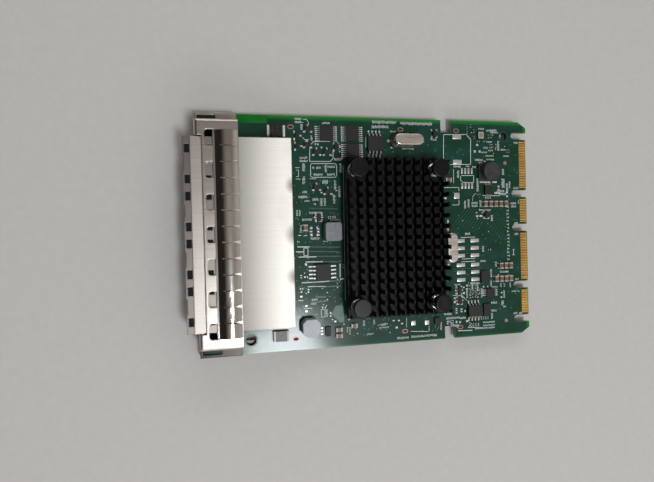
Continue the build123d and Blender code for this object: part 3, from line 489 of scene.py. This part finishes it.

# Six tooling holes, each an oval ring given by its lengths and widths, with a near-black disc in the
# slot as painted shade. The two mounting holes have their centre, their bore and the size of the ring
# round it, and a near-black lining in the bore as painted shade.
tooling_holes = [(x, y) for x in (-28.4, 9.4, 30.1) for y in (-34.4, 34.4)]
tooling_ring = ((2.1, 1.4), (1.5, 0.8))
slot_length, slot_width, slot_height = 1.6, 0.95, 0.012
mounting_holes = ((-42.8, -33.75, 3.3, 4.2), (48.4, 32.75, 3.0, 3.5))
ring_gap = 0.04
lining_out, lining_in, lining_proud = 0.06, 0.08, 0.01
ring_sides = 28


def ring_piece(name, rings, material, z0=0.0, z1=copper_height):
    """Rings round holes in the board, or a lining of the holes where heights are given."""
    verts, faces = [], []
    for x, y, outer, inner in rings:
        first = len(verts)
        for z in (z0, z1):
            for length, width in (outer, inner):
                verts += [on_board(u, v, z) for u, v in disc(x, y, length, ring_sides, width)]
        low_out, low_in, top_out, top_in = (first + k * ring_sides for k in range(4))
        for i in range(ring_sides):
            j = (i + 1) % ring_sides
            faces.append((top_out + i, top_out + j, top_in + j, top_in + i))
            faces.append((low_out + i, low_out + j, top_out + j, top_out + i))
            faces.append((low_in + j, low_in + i, top_in + i, top_in + j))
            faces.append((low_in + i, low_in + j, low_out + j, low_out + i))
    mesh_piece(name, verts, faces, material)


oval_rings = [(x, y, *tooling_ring) for x, y in tooling_holes]
round_rings = [(x, y, (ring, ring), (bore + ring_gap,) * 2) for x, y, bore, ring in mounting_holes]
linings = [(x, y, (bore + lining_out,) * 2, (bore - lining_in,) * 2) for x, y, bore, ring in mounting_holes]
ring_piece("tooling_rings", oval_rings, copper_material)
ring_piece("mounting_rings", round_rings, track_material)
slots = [disc(x, y, slot_length, ring_sides, slot_width) for x, y in tooling_holes]
# A near-black disc in each tooling slot, as painted shade.
flat_piece("tooling_slot_shades", slots, slot_height, slot_shade_material)
round_mark = 1.3
round_marks = [disc(x, y, round_mark) for x, y in ((48.97, 23.31), (48.16, -33.17))]
flat_piece("round_marks", round_marks, copper_height, copper_material)
corner_mask = plain_material(
    "unbacked_mask", (0.006, 0.125, 0.014), (0.010, 0.175, 0.018), rough=(0.35, 0.45), grains=300, gloss=0.1
)
corner_x, corner_y, corner_length, corner_width, corner_height = -41.0, 36.6, 10.0, 2.5, 0.008
corner = [bar(corner_x, corner_y, corner_length, corner_width)]
flat_piece("unbacked_corner", corner, corner_height, corner_mask)
flat_piece("masked_tracks", tracks, copper_height, track_material)
flat_piece("masked_vias", vias, copper_height, via_material)
underside = (board_low.z - board_high.z) / mm
flat_piece(
    "masked_vias_below", vias, underside + sunk, via_material, underside - copper_height
)
# The mounting holes are lined with near-black barrels, as painted shade in the bores.
ring_piece("hole_barrels_in_painted_shade", linings, barrel_shade_material, underside, lining_proud)
flat_piece("board_print", silk, print_height, silk_material)


# Gold contacts. Both faces of the card edge carry gold-plated pads. They are rubbed dull where
# the connector wipes them.

gold_material = plain_material(
    "worn_gold", (0.74, 0.33, 0.065), (0.92, 0.53, 0.150),
    rough=(0.3, 0.5), grains=(300, 2200, 500), metal=0.7, bump=0.006,
)
dress("edge_contacts_top", gold_material)
dress("edge_contacts_bottom", gold_material)


# Four-port jack. A black moulded body with two brushed nickel covers folded from thin sheet. The
# brushing runs along the card, so the light spreads across it. The spring contacts are gold, and
# two clear light guides sit above each port.

brush_depth = 0.001
cover_top = 9.3
# Round dark spots of painted shade on a cover: the share of the radius that is fully dark, and how dark
# they are.
shade_spot_core, shade_spot_strength = 0.35, 0.9


def brushed_material(
    name, dark, light, rough, anisotropy, smudge_and_shade, edge, shade_spots=(), shade_fades=(), patches=0.35
):
    """Nickel sheet brushed along X, with soft smeared patches, and round dark spots and darker stretches
    that are painted shade.

    A shade spot has its place on the cover and its radius. A darker stretch has its axis, where it
    starts and ends, and how dark it is there. They are in mm from the centre of the board's top face."""
    material, nodes, shader = start_material(name, metal=1.0)
    place = nodes.new("ShaderNodeTexCoord").outputs["Object"]
    axes = split_axes(nodes, place)
    streaks = add_grain(nodes, (45, 5200, 5200), low=0.2, high=0.8, detail=4.0)
    smears = add_grain(nodes, (120, 60, 90), low=0.5, high=0.9, detail=2.0)
    dull = math_node("MULTIPLY", smears, patches)
    for shade_x, shade_y, radius in shade_spots:
        reach = nodes.new("ShaderNodeVectorMath")
        reach.operation = "DISTANCE"
        feed(reach.inputs[0], place)
        reach.inputs[1].default_value = on_board(shade_x, shade_y, cover_top)
        core = shade_spot_core * radius * mm
        shade_spot = range_of(reach.outputs["Value"], core, radius * mm, shade_spot_strength, 0)
        dull = math_node("MAXIMUM", dull, shade_spot)
    centre = {"X": board_x, "Y": 0.0, "Z": board_top}
    for axis, start, end, first, last in shade_fades:
        limits = centre[axis] + start * mm, centre[axis] + end * mm
        shade_fade = range_of(axes[axis], *limits, first, last)
        dull = math_node("MAXIMUM", dull, shade_fade)
    base = mix_colours(streaks, dark, light)
    feed(shader.inputs["Base Color"], mix_colours(dull, base, smudge_and_shade))
    feed(shader.inputs["Roughness"], range_of(streaks, 0, 1, *rough))
    feed(shader.inputs["Anisotropic"], anisotropy)
    across = nodes.new("ShaderNodeTangent")
    across.direction_type = "RADIAL"
    across.axis = "X"
    feed(shader.inputs["Tangent"], across.outputs[0])
    bump_from(shader, streaks, brush_depth * mm, strength=0.2, edge=edge * mm)
    return material


# The three round dark spots along the rear edge and the darkening toward the ports are painted shade.
dress("jack_rear_shield", brushed_material(
    "brushed_nickel", (0.298, 0.278, 0.252), (0.345, 0.325, 0.298), rough=(0.38, 0.43), anisotropy=1.0,
    smudge_and_shade=(0.105, 0.096, 0.086), edge=0.3,
    shade_spots=((-29.3, 14.6, 3.0), (-28.9, -0.4, 3.9), (-29.3, -13.4, 3.2)),
    shade_fades=(("X", -46.5, -33.0, 0.45, 0),),
))
# The front cover is painted darker along its front edge and where it lies under the bracket: painted shade.
dress("jack_front_shield", brushed_material(
    "satin_nickel", (0.45, 0.405, 0.37), (0.54, 0.49, 0.455), rough=(0.36, 0.44), anisotropy=0.2,
    smudge_and_shade=(0.17, 0.15, 0.135), edge=0.3,
    shade_fades=(("X", -59.95, -59.75, 0.85, 0), ("X", -56.4, -56.2, 0, 0.7)),
))
dress("jack_housing", plain_material(
    "black_moulding", (0.006, 0.006, 0.006), (0.016, 0.016, 0.017),
    rough=(0.45, 0.65), grains=1800, bump=0.004, edge=0.1, gloss=0.1,
))
dress("jack_contacts", plain_material(
    "contact_gold", (0.62, 0.38, 0.12), (0.80, 0.55, 0.22), rough=(0.2, 0.35), grains=900, metal=1.0
))
dress("jack_light_guides", plain_material(
    "clear_moulding", (0.42, 0.45, 0.42), (0.60, 0.62, 0.58), rough=(0.12, 0.25), grains=500
))
dress("jack_magnetics", plain_material(
    "cast_resin", (0.008, 0.008, 0.009), (0.02, 0.02, 0.022), rough=(0.35, 0.6), grains=700
))
tin_material = plain_material(
    "bright_tin", (0.44, 0.42, 0.395), (0.60, 0.58, 0.55),
    rough=(0.28, 0.42), grains=5000, metal=0.85, bump=0.003,
)
dress("jack_solder_pins", tin_material)


# Bracket. One folded sheet of nickel-plated steel with softly rounded folds. Its near foot and the
# parts below the board are painted dark, as painted shade. A strip of polished spring steel with
# arched fingers is clipped into its windows, and two screws hold it to the board.

dress("bracket", brushed_material(
    "plated_sheet", (0.46, 0.40, 0.36), (0.57, 0.515, 0.475), rough=(0.26, 0.34), anisotropy=0.2,
    smudge_and_shade=(0.032, 0.027, 0.024), edge=0.45,
    shade_fades=(("Z", -1.5, -1.0, 0.97, 0), ("Y", -35.6, -35.0, 0.97, 0)), patches=0.0,
))
spring_sheet = plain_material(
    "polished_spring", (0.64, 0.60, 0.54), (0.75, 0.71, 0.65),
    rough=(0.11, 0.15), grains=(400, 90, 400), metal=1.0, bump=0.002,
)
dress("bracket_contact_strip", spring_sheet)
dress("bracket_screws", spring_sheet)


# Cooling. A black anodised heatsink is pressed on the controller chip over a soft pad. Four black
# push pins with coil springs under their heads hold it down.

dress("heatsink", plain_material(
    "black_anodised", (0.0060, 0.0057, 0.0060), (0.011, 0.0105, 0.011),
    rough=(0.34, 0.5), grains=1500, bump=0.004, edge=0.16, gloss=0.12,
))
dress("heatsink_push_pins", plain_material(
    "black_nylon", (0.0025, 0.0024, 0.0026), (0.005, 0.0048, 0.005),
    rough=(0.28, 0.36), grains=600, bump=0.003, edge=0.15, gloss=0.25,
))
dress("heatsink_push_springs", plain_material(
    "spring_wire", (0.62, 0.62, 0.63), (0.80, 0.80, 0.81), rough=(0.18, 0.28), grains=3000, metal=1.0
))
chip_material = plain_material(
    "moulded_epoxy", (0.010, 0.0095, 0.010), (0.022, 0.021, 0.022),
    rough=(0.45, 0.62), grains=2600, bump=0.006, edge=0.12, gloss=0.35,
)
dress("controller_chip", chip_material)
dress("thermal_pad", plain_material(
    "soft_pad", (0.32, 0.34, 0.38), (0.40, 0.42, 0.46), rough=(0.6, 0.8), grains=1200, bump=0.01
))


# Crystals. Each is a drawn metal can with round ends, welded to a plate that stands on a black
# insulator, with a flat lead at each end.

can_material = plain_material(
    "drawn_can", (0.74, 0.63, 0.56), (0.86, 0.76, 0.69),
    rough=(0.24, 0.34), grains=(160, 1400, 900), metal=1.0, bump=0.004, edge=0.2,
)
dark_plate = plain_material(
    "dark_plate", (0.010, 0.010, 0.010), (0.025, 0.025, 0.025), rough=(0.4, 0.6), grains=900, edge=0.1
)
for side_name in ("upper", "right"):
    dress("crystal_can_" + side_name, can_material)
    dress("crystal_base_" + side_name, dark_plate)
dress("crystal_leads", tin_material)


# Inductors. Two are pressed from grey ferrite powder, the third is a black ferrite drum on a
# square plate. All three stand on tinned terminals.

dress("square_inductor", plain_material(
    "pressed_ferrite", (0.155, 0.16, 0.17), (0.23, 0.235, 0.25),
    rough=(0.35, 0.55), grains=1600, bump=0.012, edge=0.35,
))
# The octagon's ferrite is paler than the square one's: partly its own grey, partly painted light for the
# lamp's glare on its top.
dress("octagon_inductor", plain_material(
    "ferrite_with_painted_glare", (0.32, 0.34, 0.365), (0.42, 0.445, 0.475),
    rough=(0.3, 0.5), grains=1600, bump=0.012, edge=0.35,
))
dress("drum_inductor_core", plain_material(
    "ground_ferrite", (0.026, 0.025, 0.026), (0.050, 0.048, 0.049),
    rough=(0.35, 0.5), grains=1300, metal=0.1, bump=0.008, edge=0.1,
))
dress("drum_inductor_base", dark_plate)
dress("inductor_terminals", tin_material)


# Leaded chips. Black moulded bodies with gull-wing leads on both sides, each lead soldered to a
# pad that reaches out past its foot. A small dimple marks the first lead.

chips = (
    "switch_chip_front", "switch_chip_middle", "switch_chip_inner", "memory_chip_upper",
    "memory_chip_left", "power_chip_lower", "driver_chip_right", "driver_chip_upper",
)
for chip in chips:
    dress(chip, chip_material)
    dress(chip + "_leads", tin_material)


def islands(node, below=None):
    """The lowest and highest corner, in mm from the board's centre, of each loose piece of a node.

    With a height given, only what lies below it is counted."""
    form = bmesh.new()
    form.from_mesh(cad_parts[node].data)
    bmesh.ops.remove_doubles(form, verts=form.verts, dist=1e-6)
    seen, boxes = set(), []
    for seed in form.verts:
        if seed in seen:
            continue
        seen.add(seed)
        group, stack = [], [seed]
        while stack:
            vert = stack.pop()
            group.append(vert.co)
            for edge in vert.link_edges:
                other = edge.other_vert(vert)
                if other not in seen:
                    seen.add(other)
                    stack.append(other)
        spots = [((c.x - board_x) / mm, c.y / mm, (c.z - board_top) / mm) for c in group]
        if below is not None:
            spots = [c for c in spots if c[2] < below]
        if spots:
            low = [min(c[k] for c in spots) for k in range(3)]
            high = [max(c[k] for c in spots) for k in range(3)]
            boxes.append((low, high))
    form.free()
    return boxes


solder_material = plain_material(
    "bright_solder", (0.66, 0.65, 0.63), (0.84, 0.83, 0.81),
    rough=(0.2, 0.35), grains=5000, metal=0.35, bump=0.003,
)
solder_rim = 0.03


def add_solder(verts, faces, x, y, length, width, height=0.09, slope=0.12, steps=1):
    """A low mound of solder about the centre of a pad, rounded where it has more than one step."""
    first = len(verts)
    levels = [(0.0, -sunk), (0.0, solder_rim)]
    for i in range(steps):
        turn = math.radians(90 * (i + 1) / steps)
        rise = (height - solder_rim) * math.sin(turn)
        levels.append((slope * (1 - math.cos(turn)), solder_rim + rise))
    for inset, z in levels:
        verts += [on_board(u, v, z) for u, v in bar(x, y, length - 2 * inset, width - 2 * inset)]
    top = first + 4 * (len(levels) - 1)
    for ring in range(first, top, 4):
        for i in range(4):
            j = (i + 1) % 4
            faces.append((ring + i, ring + j, ring + 4 + j, ring + 4 + i))
    faces.append((first, first + 3, first + 2, first + 1))
    faces.append(tuple(top + i for i in range(4)))


def middle_of(box):
    """The middle of a box of two corners, seen from above."""
    low, high = box
    return (low[0] + high[0]) / 2, (low[1] + high[1]) / 2


foot_height = 0.25
nearly_square = 0.2


def solder_under(leads, bodies, reach, spread=0.02):
    """Solder under each foot of a node's leads, reaching out past the foot, away from its body.

    It spreads a little past the foot on every side, or stays inside it where the spread is negative."""
    centres = [middle_of(box) for box in islands(bodies)]
    verts, faces = [], []
    for low, high in islands(leads, foot_height):
        x, y = middle_of((low, high))
        near = min(centres, key=lambda centre: math.dist(centre, (x, y)))
        away_x, away_y = x - near[0], y - near[1]
        length, width = high[0] - low[0], high[1] - low[1]
        along_x = length > width
        if abs(length - width) < nearly_square:
            along_x = abs(away_x) > abs(away_y)
        if along_x:
            x += reach / 2 if away_x > 0 else -reach / 2
            length += reach
        else:
            y += reach / 2 if away_y > 0 else -reach / 2
            width += reach
        add_solder(verts, faces, x, y, length + 2 * spread, width + 2 * spread)
    mesh_piece(leads + "_solder", verts, faces, solder_material)


thin_chip_reach, wide_chip_reach = 0.45, 0.6
for chip in chips:
    solder_under(chip + "_leads", chip, thin_chip_reach if chip.startswith("switch") else wide_chip_reach)

dimple_size, dimple_inset = 0.5, 0.75
dimple_sunk, dimple_proud = 0.05, 0.01
dimple_verts, dimple_faces = [], []
for chip in chips:
    low, high = islands(chip)[0]
    outline = disc(low[0] + dimple_inset, high[1] - dimple_inset, dimple_size)
    add_prism(dimple_verts, dimple_faces, outline, high[2] - dimple_sunk, high[2] + dimple_proud)
mesh_piece("chip_dimples", dimple_verts, dimple_faces, dark_plate)


# Small parts. Three-legged packages, flat packages, brown ceramic capacitors, the large link and
# the large grey capacitor. All are soldered by bright tinned ends.

dress("small_packages", chip_material)
dress("small_package_legs", tin_material)
dress("flat_packages", chip_material)
dress("chip_capacitors", plain_material(
    "brown_ceramic", (0.130, 0.070, 0.040), (0.215, 0.130, 0.085),
    rough=(0.35, 0.55), grains=1500, bump=0.006, edge=0.08,
))
dull_tin = plain_material(
    "dull_tin", (0.42, 0.36, 0.32), (0.56, 0.50, 0.45),
    rough=(0.45, 0.6), grains=4000, metal=0.35, bump=0.003, edge=0.06,
)
dress("chip_capacitor_ends", dull_tin)
dress("link_resistor", plain_material(
    "glazed_face", (0.012, 0.012, 0.012), (0.026, 0.026, 0.026), rough=(0.2, 0.35), grains=900, edge=0.08
))
dress("link_resistor_ends", solder_material)
dress("large_capacitor", plain_material(
    "grey_ceramic", (0.110, 0.108, 0.104), (0.260, 0.255, 0.245),
    rough=(0.4, 0.6), grains=2600, bump=0.008, edge=0.1,
))
dress("large_capacitor_ends", dull_tin)
flat_tin = plain_material(
    "flat_tin", (0.56, 0.53, 0.51), (0.68, 0.65, 0.63),
    rough=(0.3, 0.4), grains=7000, metal=0.7, bump=0.001, edge=0.1,
)
dress("bare_pads", flat_tin)
package_reach, capacitor_reach, large_reach = 0.35, 0.3, 0.4
within_end = -0.02
solder_under("small_package_legs", "small_packages", package_reach)
solder_under("chip_capacitor_ends", "chip_capacitors", capacitor_reach, within_end)
solder_under("link_resistor_ends", "link_resistor", large_reach, within_end)
solder_under("large_capacitor_ends", "large_capacitor", large_reach, within_end)

# The bare pads carry a rounded coat of solder, which slopes over nearly all of their half width.
coat_height, coat_slope, coat_steps = 0.09, 0.96, 5
coat_verts, coat_faces = [], []
for low, high in islands("bare_pads"):
    length, width, top = high[0] - low[0], high[1] - low[1], high[2] + coat_height
    slope = coat_slope * min(length, width) / 2
    add_solder(coat_verts, coat_faces, *middle_of((low, high)), length, width, top, slope, coat_steps)
mesh_piece("bare_pad_solder", coat_verts, coat_faces, flat_tin, smooth=True)

# Solder on the places that carry no part, each with its length and width, and the test dots.
solder_spots = (
    (-23.4, 29.6, 0.6, 1.0), (-20.3, 29.0, 0.4, 0.6), (-19.5, 28.9, 0.4, 0.6), (-18.3, 27.9, 0.5, 0.5),
    (-12.7, 29.3, 0.7, 0.5), (-12.2, 28.6, 0.4, 0.4), (-12.6, 27.4, 0.7, 0.6), (-12.2, 26.6, 0.4, 0.5),
    (-18.7, 13.1, 0.5, 0.5), (-12.6, 11.8, 0.6, 0.5), (-13.6, 13.7, 0.7, 0.3), (-20.9, 9.3, 0.5, 0.5),
    (-24.5, -10.3, 0.7, 0.7), (-24.7, -23.9, 0.8, 0.6), (-24.7, -25.6, 0.9, 0.7),
    (-26.2, -19.2, 0.5, 0.5), (-26.3, -20.7, 0.8, 0.6), (-20.7, 5.6, 0.7, 0.3), (-20.7, 4.9, 0.7, 0.3),
    (-20.8, 4.3, 0.7, 0.3), (-18.7, 5.6, 0.5, 0.3), (-18.7, 4.9, 0.5, 0.3), (-18.7, 4.2, 0.5, 0.3),
    (-22.6, 1.4, 0.6, 0.4), (-22.6, 0.4, 0.6, 0.4), (-22.6, -0.6, 0.6, 0.4), (-20.0, 1.2, 0.6, 0.4),
    (-20.0, 0.2, 0.6, 0.5), (-19.9, -0.8, 0.6, 0.4), (37.1, 27.3, 0.8, 0.8), (39.0, 27.3, 0.8, 0.8),
    (38.1, 29.6, 0.8, 0.7), (46.2, 14.9, 0.7, 0.6), (46.2, 13.9, 0.6, 0.5), (45.7, 12.6, 2.4, 0.6),
    (49.5, 12.8, 0.8, 0.6), (49.5, 11.4, 0.8, 0.6), (39.6, 5.7, 0.6, 0.4), (37.3, 5.7, 0.5, 0.4),
    (37.5, 4.5, 0.9, 0.6), (39.0, 4.5, 1.2, 0.6), (26.2, 2.8, 0.6, 1.1), (25.1, 10.9, 1.5, 0.6),
    (28.9, -20.5, 0.9, 0.5), (28.9, -21.5, 0.9, 0.5), (28.9, -22.5, 0.9, 0.5), (31.7, -20.5, 0.6, 0.5),
    (31.7, -22.5, 0.7, 0.7), (33.0, -19.9, 0.7, 0.6), (32.9, -21.1, 0.8, 0.6), (28.2, -24.1, 0.8, 0.6),
    (29.6, -24.1, 0.8, 0.7), (28.1, -25.5, 0.8, 0.6), (29.7, -26.1, 0.9, 0.6), (28.7, -27.8, 0.7, 0.4),
    (28.7, -28.5, 0.7, 0.4), (28.7, -29.3, 0.7, 0.4), (30.6, -28.1, 0.7, 0.5), (30.6, -28.9, 0.7, 0.5),
    (32.0, -28.8, 0.5, 0.7), (25.2, -32.1, 0.6, 0.4), (25.2, -32.8, 0.6, 0.4), (28.6, -32.5, 0.6, 0.8),
    (30.0, -32.6, 0.7, 0.7), (32.7, -32.4, 0.8, 0.7), (46.5, -23.1, 0.6, 0.5), (46.4, -24.7, 0.7, 0.6),
    (39.4, -20.6, 0.5, 0.6), (41.0, -20.6, 0.5, 0.6), (6.3, -32.9, 0.8, 0.7), (8.3, -31.7, 0.7, 0.5),
    (5.3, -30.5, 0.7, 0.5), (7.2, -30.6, 0.7, 0.5), (-15.1, -29.5, 0.6, 0.5), (39.3, 23.2, 1.4, 0.8),
    (40.9, 23.8, 0.9, 0.6), (40.8, 16.5, 4.0, 0.6), (44.6, 16.5, 1.8, 0.6), (49.6, -16.9, 0.8, 0.4),
    (45.4, -16.7, 0.8, 0.4), (48.5, -15.6, 0.7, 0.6), (-19.7, -31.4, 0.8, 0.4),
    (-19.7, -32.4, 0.8, 0.4), (-19.7, -33.4, 0.8, 0.4), (-17.1, -31.4, 0.6, 0.4),
    (-17.1, -32.4, 0.6, 0.4), (-17.1, -33.4, 0.6, 0.4),
)
solder_dots = (
    (-26.5, -18.1), (-25.9, -18.1), (-23.9, -18.4), (-23.9, -19.4), (-24.6, -19.8), (-19.2, -18.4),
    (-17.6, -19.8), (-17.6, -22.1), (-14.0, -15.6), (-14.1, -17.0), (-14.1, -18.3), (-19.0, -23.7),
    (-18.0, -24.1), (-18.4, -24.7), (-19.4, -24.6), (-16.7, -26.4), (-16.7, -27.7), (34.1, 35.8),
    (34.1, 35.1), (34.1, 34.2), (34.1, 33.5), (35.5, 36.6), (35.5, 35.7), (36.0, 33.9), (36.8, 34.8),
    (36.8, 34.0), (36.8, 32.5), (36.8, 31.9), (34.5, 32.6), (35.0, 32.0), (35.6, 31.4), (42.5, 33.2),
    (43.5, 33.2), (44.3, 33.2), (42.5, 32.2), (43.6, 32.3), (38.9, 30.8), (38.1, 30.8), (40.6, 30.9),
    (41.6, 30.9), (43.0, 29.8), (43.8, 29.9), (45.4, 29.9), (43.0, 28.7), (43.8, 28.7), (45.3, 28.7),
    (45.3, 28.1), (49.7, 28.0), (50.5, 28.0), (49.7, 27.1), (50.5, 27.1), (44.5, 26.7), (49.0, 29.2),
    (37.8, 12.1), (38.6, 12.1), (49.9, 8.8), (50.7, 8.8), (34.1, -21.5), (34.1, -22.4), (34.0, -23.3),
    (34.0, -24.2), (35.3, -21.6), (35.2, -22.5), (36.4, -22.5), (36.2, -23.4), (37.6, -21.5),
    (37.6, -23.1), (36.9, -24.3), (30.4, -24.3), (33.6, -33.0), (33.6, -34.0), (34.8, -34.0),
    (35.9, -34.0), (37.1, -33.9), (42.5, -7.5), (41.8, -1.1), (31.8, 3.0), (37.6, 3.6), (-7.6, -34.0),
    (3.9, -34.5), (-16.1, -28.8), (-12.2, -30.6), (-10.4, -29.2), (0.5, 26.6), (-11.9, -10.8),
    (-11.9, -11.8), (-26.2, -14.0), (-25.1, -14.4), (-24.1, -14.4), (-25.0, -13.1),
)

# Fields of small pads: the first pad, how many columns and rows, and the steps between them.
pad_fields = (
    (32.9, -19.95, 5, 5, 1.08, -1.03), (33.4, -33.5, 5, 2, 0.92, -0.85), (38.3, -31.4, 4, 2, 0.85, -0.65),
    (26.5, -31.9, 2, 3, 0.8, -0.7), (33.6, -19.0, 4, 1, 1.1, 0.0),
)
dot_size = 0.32
pad_length, pad_width = 0.36, 0.26
spot_verts, spot_faces = [], []
for x, y, length, width in solder_spots:
    add_solder(spot_verts, spot_faces, x, y, length, width, height=0.1, slope=0.1)
for x, y in solder_dots:
    add_solder(spot_verts, spot_faces, x, y, dot_size, dot_size, height=0.06, slope=0.05)
for field_x, field_y, columns, rows, step_x, step_y in pad_fields:
    for i in range(columns):
        for j in range(rows):
            x, y = field_x + i * step_x, field_y + j * step_y
            add_solder(spot_verts, spot_faces, x, y, pad_length, pad_width, height=0.05, slope=0.04)
mesh_piece("solder_spots", spot_verts, spot_faces, solder_material)


# Smallest parts. Chip resistors and capacitors under a millimetre long, each a dark block with two
# tinned ends, stand in rows between the packages.

tiny_length, tiny_width, tiny_height = 0.55, 0.5, 0.35
end_length, end_wider, end_taller = 0.22, 0.04, 0.02

# Where each one lies and its turn in degrees.
tiny_parts = (
    (34.1, 35.45, 90), (34.1, 33.85, 90), (35.5, 36.15, 90), (36.8, 34.4, 90), (36.8, 32.2, 90),
    (38.5, 30.8, 0), (41.1, 30.85, 0), (43.0, 29.25, 90), (43.8, 29.3, 90), (45.4, 29.3, 90),
    (50.1, 28.0, 0), (50.1, 27.1, 0), (42.5, 32.7, 90), (43.55, 32.75, 90), (38.2, 12.1, 0),
    (50.3, 8.8, 0), (34.1, -21.95, 90), (34.0, -23.75, 90), (35.25, -22.05, 90), (36.3, -22.95, 90),
    (33.6, -33.5, 90), (37.6, -22.3, 90), (-26.2, -18.1, 0), (-23.9, -18.9, 90), (-18.9, -24.65, 0),
    (-26.2, -14.2, 90), (-24.55, -14.4, 0), (-12.6, -15.6, 0), (41.8, -7.5, 0), (-16.7, -27.05, 90),
)
tiny_verts, tiny_faces, end_verts, end_faces = [], [], [], []
for tiny_x, tiny_y, tiny_turn in tiny_parts:
    outline = bar(tiny_x, tiny_y, tiny_length, tiny_width, tiny_turn)
    add_prism(tiny_verts, tiny_faces, outline, 0.0, tiny_height)
    shift = (tiny_length + end_length) / 2
    turn = math.radians(tiny_turn)
    for way in (-shift, shift):
        end_x, end_y = tiny_x + way * math.cos(turn), tiny_y + way * math.sin(turn)
        outline = bar(end_x, end_y, end_length, tiny_width + end_wider, tiny_turn)
        add_prism(end_verts, end_faces, outline, 0.0, tiny_height + end_taller)
mesh_piece("tiny_part_bodies", tiny_verts, tiny_faces, dark_plate)
mesh_piece("tiny_part_ends", end_verts, end_faces, tin_material)

# The package by the rear hole is a ceramic one with a pale rim and a plated lid.
lidded_package = (39.2, 32.9)
rim_inset, rim_proud = 0.1, 0.03
lid_share_x, lid_share_y, lid_proud = 0.62, 0.66, 0.08
lid_sunk = 0.05
rim_material = plain_material(
    "pale_ceramic", (0.40, 0.38, 0.35), (0.52, 0.50, 0.46), rough=(0.45, 0.6), grains=3000
)
lid_material = plain_material(
    "plated_lid", (0.36, 0.25, 0.18), (0.48, 0.35, 0.27), rough=(0.3, 0.45), grains=2600, metal=0.6
)
package = min(islands("flat_packages"), key=lambda box: math.dist(middle_of(box), lidded_package))
low, high = package
length, width, top = high[0] - low[0], high[1] - low[1], high[2]
rim_outline = bar(*middle_of(package), length - rim_inset, width - rim_inset)
lid_outline = bar(*middle_of(package), length * lid_share_x, width * lid_share_y)
flat_piece("ceramic_rim", [rim_outline], top + rim_proud, rim_material, top - lid_sunk)
flat_piece("plated_lid", [lid_outline], top + lid_proud, lid_material, top - lid_sunk)


# Floor and light. A plain pale grey floor, one compact overhead lamp that glares on the near
# corner of the card, two soft panels at the sides, and a room that is darker toward the ports.

floor_half = 2.0
floor_mesh = bpy.data.meshes.new("floor")
floor_corners = [(i * floor_half, j * floor_half, 0) for i, j in square_corners]
floor_mesh.from_pydata(floor_corners, [], [(0, 1, 2, 3)])
floor_material = plain_material(
    "pale_floor", (0.545, 0.518, 0.497), (0.575, 0.548, 0.527), rough=(0.7, 0.9), grains=400
)
floor_mesh.materials.append(floor_material)
floor = bpy.data.objects.new("floor", floor_mesh)
bpy.context.scene.collection.objects.link(floor)


def panel_light(name, direction, distance, size, power, colour=(1, 1, 1)):
    """A soft rectangular lamp that looks back at the card."""
    lamp = bpy.data.lights.new(name, "AREA")
    lamp.shape = "RECTANGLE"
    lamp.size, lamp.size_y = size
    lamp.energy = power
    lamp.color = colour
    light = bpy.data.objects.new(name, lamp)
    toward = Vector(direction).normalized()
    light.location = toward * distance
    light.rotation_euler = toward.to_track_quat("Z", "Y").to_euler()
    bpy.context.scene.collection.objects.link(light)


panel_light(
    "overhead_lamp", (0.12, -0.318, 0.94), distance=0.8, size=(0.125, 0.20), power=2.9,
    colour=(0.92, 0.97, 1.0),
)
panel_light("far_panel", (0.0, 0.85, 0.52), distance=0.8, size=(0.7, 0.2), power=1.5)
panel_light("near_panel", (0.1, -0.85, 0.52), distance=0.9, size=(0.8, 0.25), power=1.7)

room_grey = (0.20, 0.185, 0.17)
room_pale = (0.42, 0.41, 0.40)
room_dark = (0.02, 0.017, 0.016)

# What lies over the grey of the room, one after the other: the axis, where it starts and is full
# along it, and its tone. It is pale on the near side and past the gold edge, dark toward the
# ports, and pale again low down all round.
room_tones = (
    ("Y", 0.2, -0.5, room_pale),
    ("X", 0.55, 0.8, room_pale),
    ("X", 0.0, -0.45, room_dark),
    ("Z", 0.40, 0.26, room_pale),
)
world = bpy.data.worlds.new("studio")
bpy.context.scene.world = world
world.use_nodes = True
sky_nodes = world.node_tree.nodes
sky_axes = split_axes(sky_nodes, sky_nodes.new("ShaderNodeTexCoord").outputs["Generated"])
shade = room_grey
for axis, start, full, tone in room_tones:
    mask = range_of(sky_axes[axis], start, full)
    shade = mix_colours(mask, shade, tone)
feed(sky_nodes["Background"].inputs["Color"], shade)
bpy.context.scene.view_settings.view_transform = "Standard"


# Camera. It looks down on the card from above the jack, a little to the left, as the photograph
# does.

camera_place = (-55.15, -1.04, 161.8)
camera_turn = (-0.01115, -0.23012, -0.02805)
camera_data = bpy.data.cameras.new("camera")
camera_data.sensor_width = 36.0
camera_data.lens = 27.80
camera_data.clip_start = 0.01
camera = bpy.data.objects.new("camera", camera_data)
camera.location = on_board(*camera_place)
camera.rotation_mode = "ZYX"
camera.rotation_euler = camera_turn
bpy.context.scene.collection.objects.link(camera)
bpy.context.scene.camera = camera
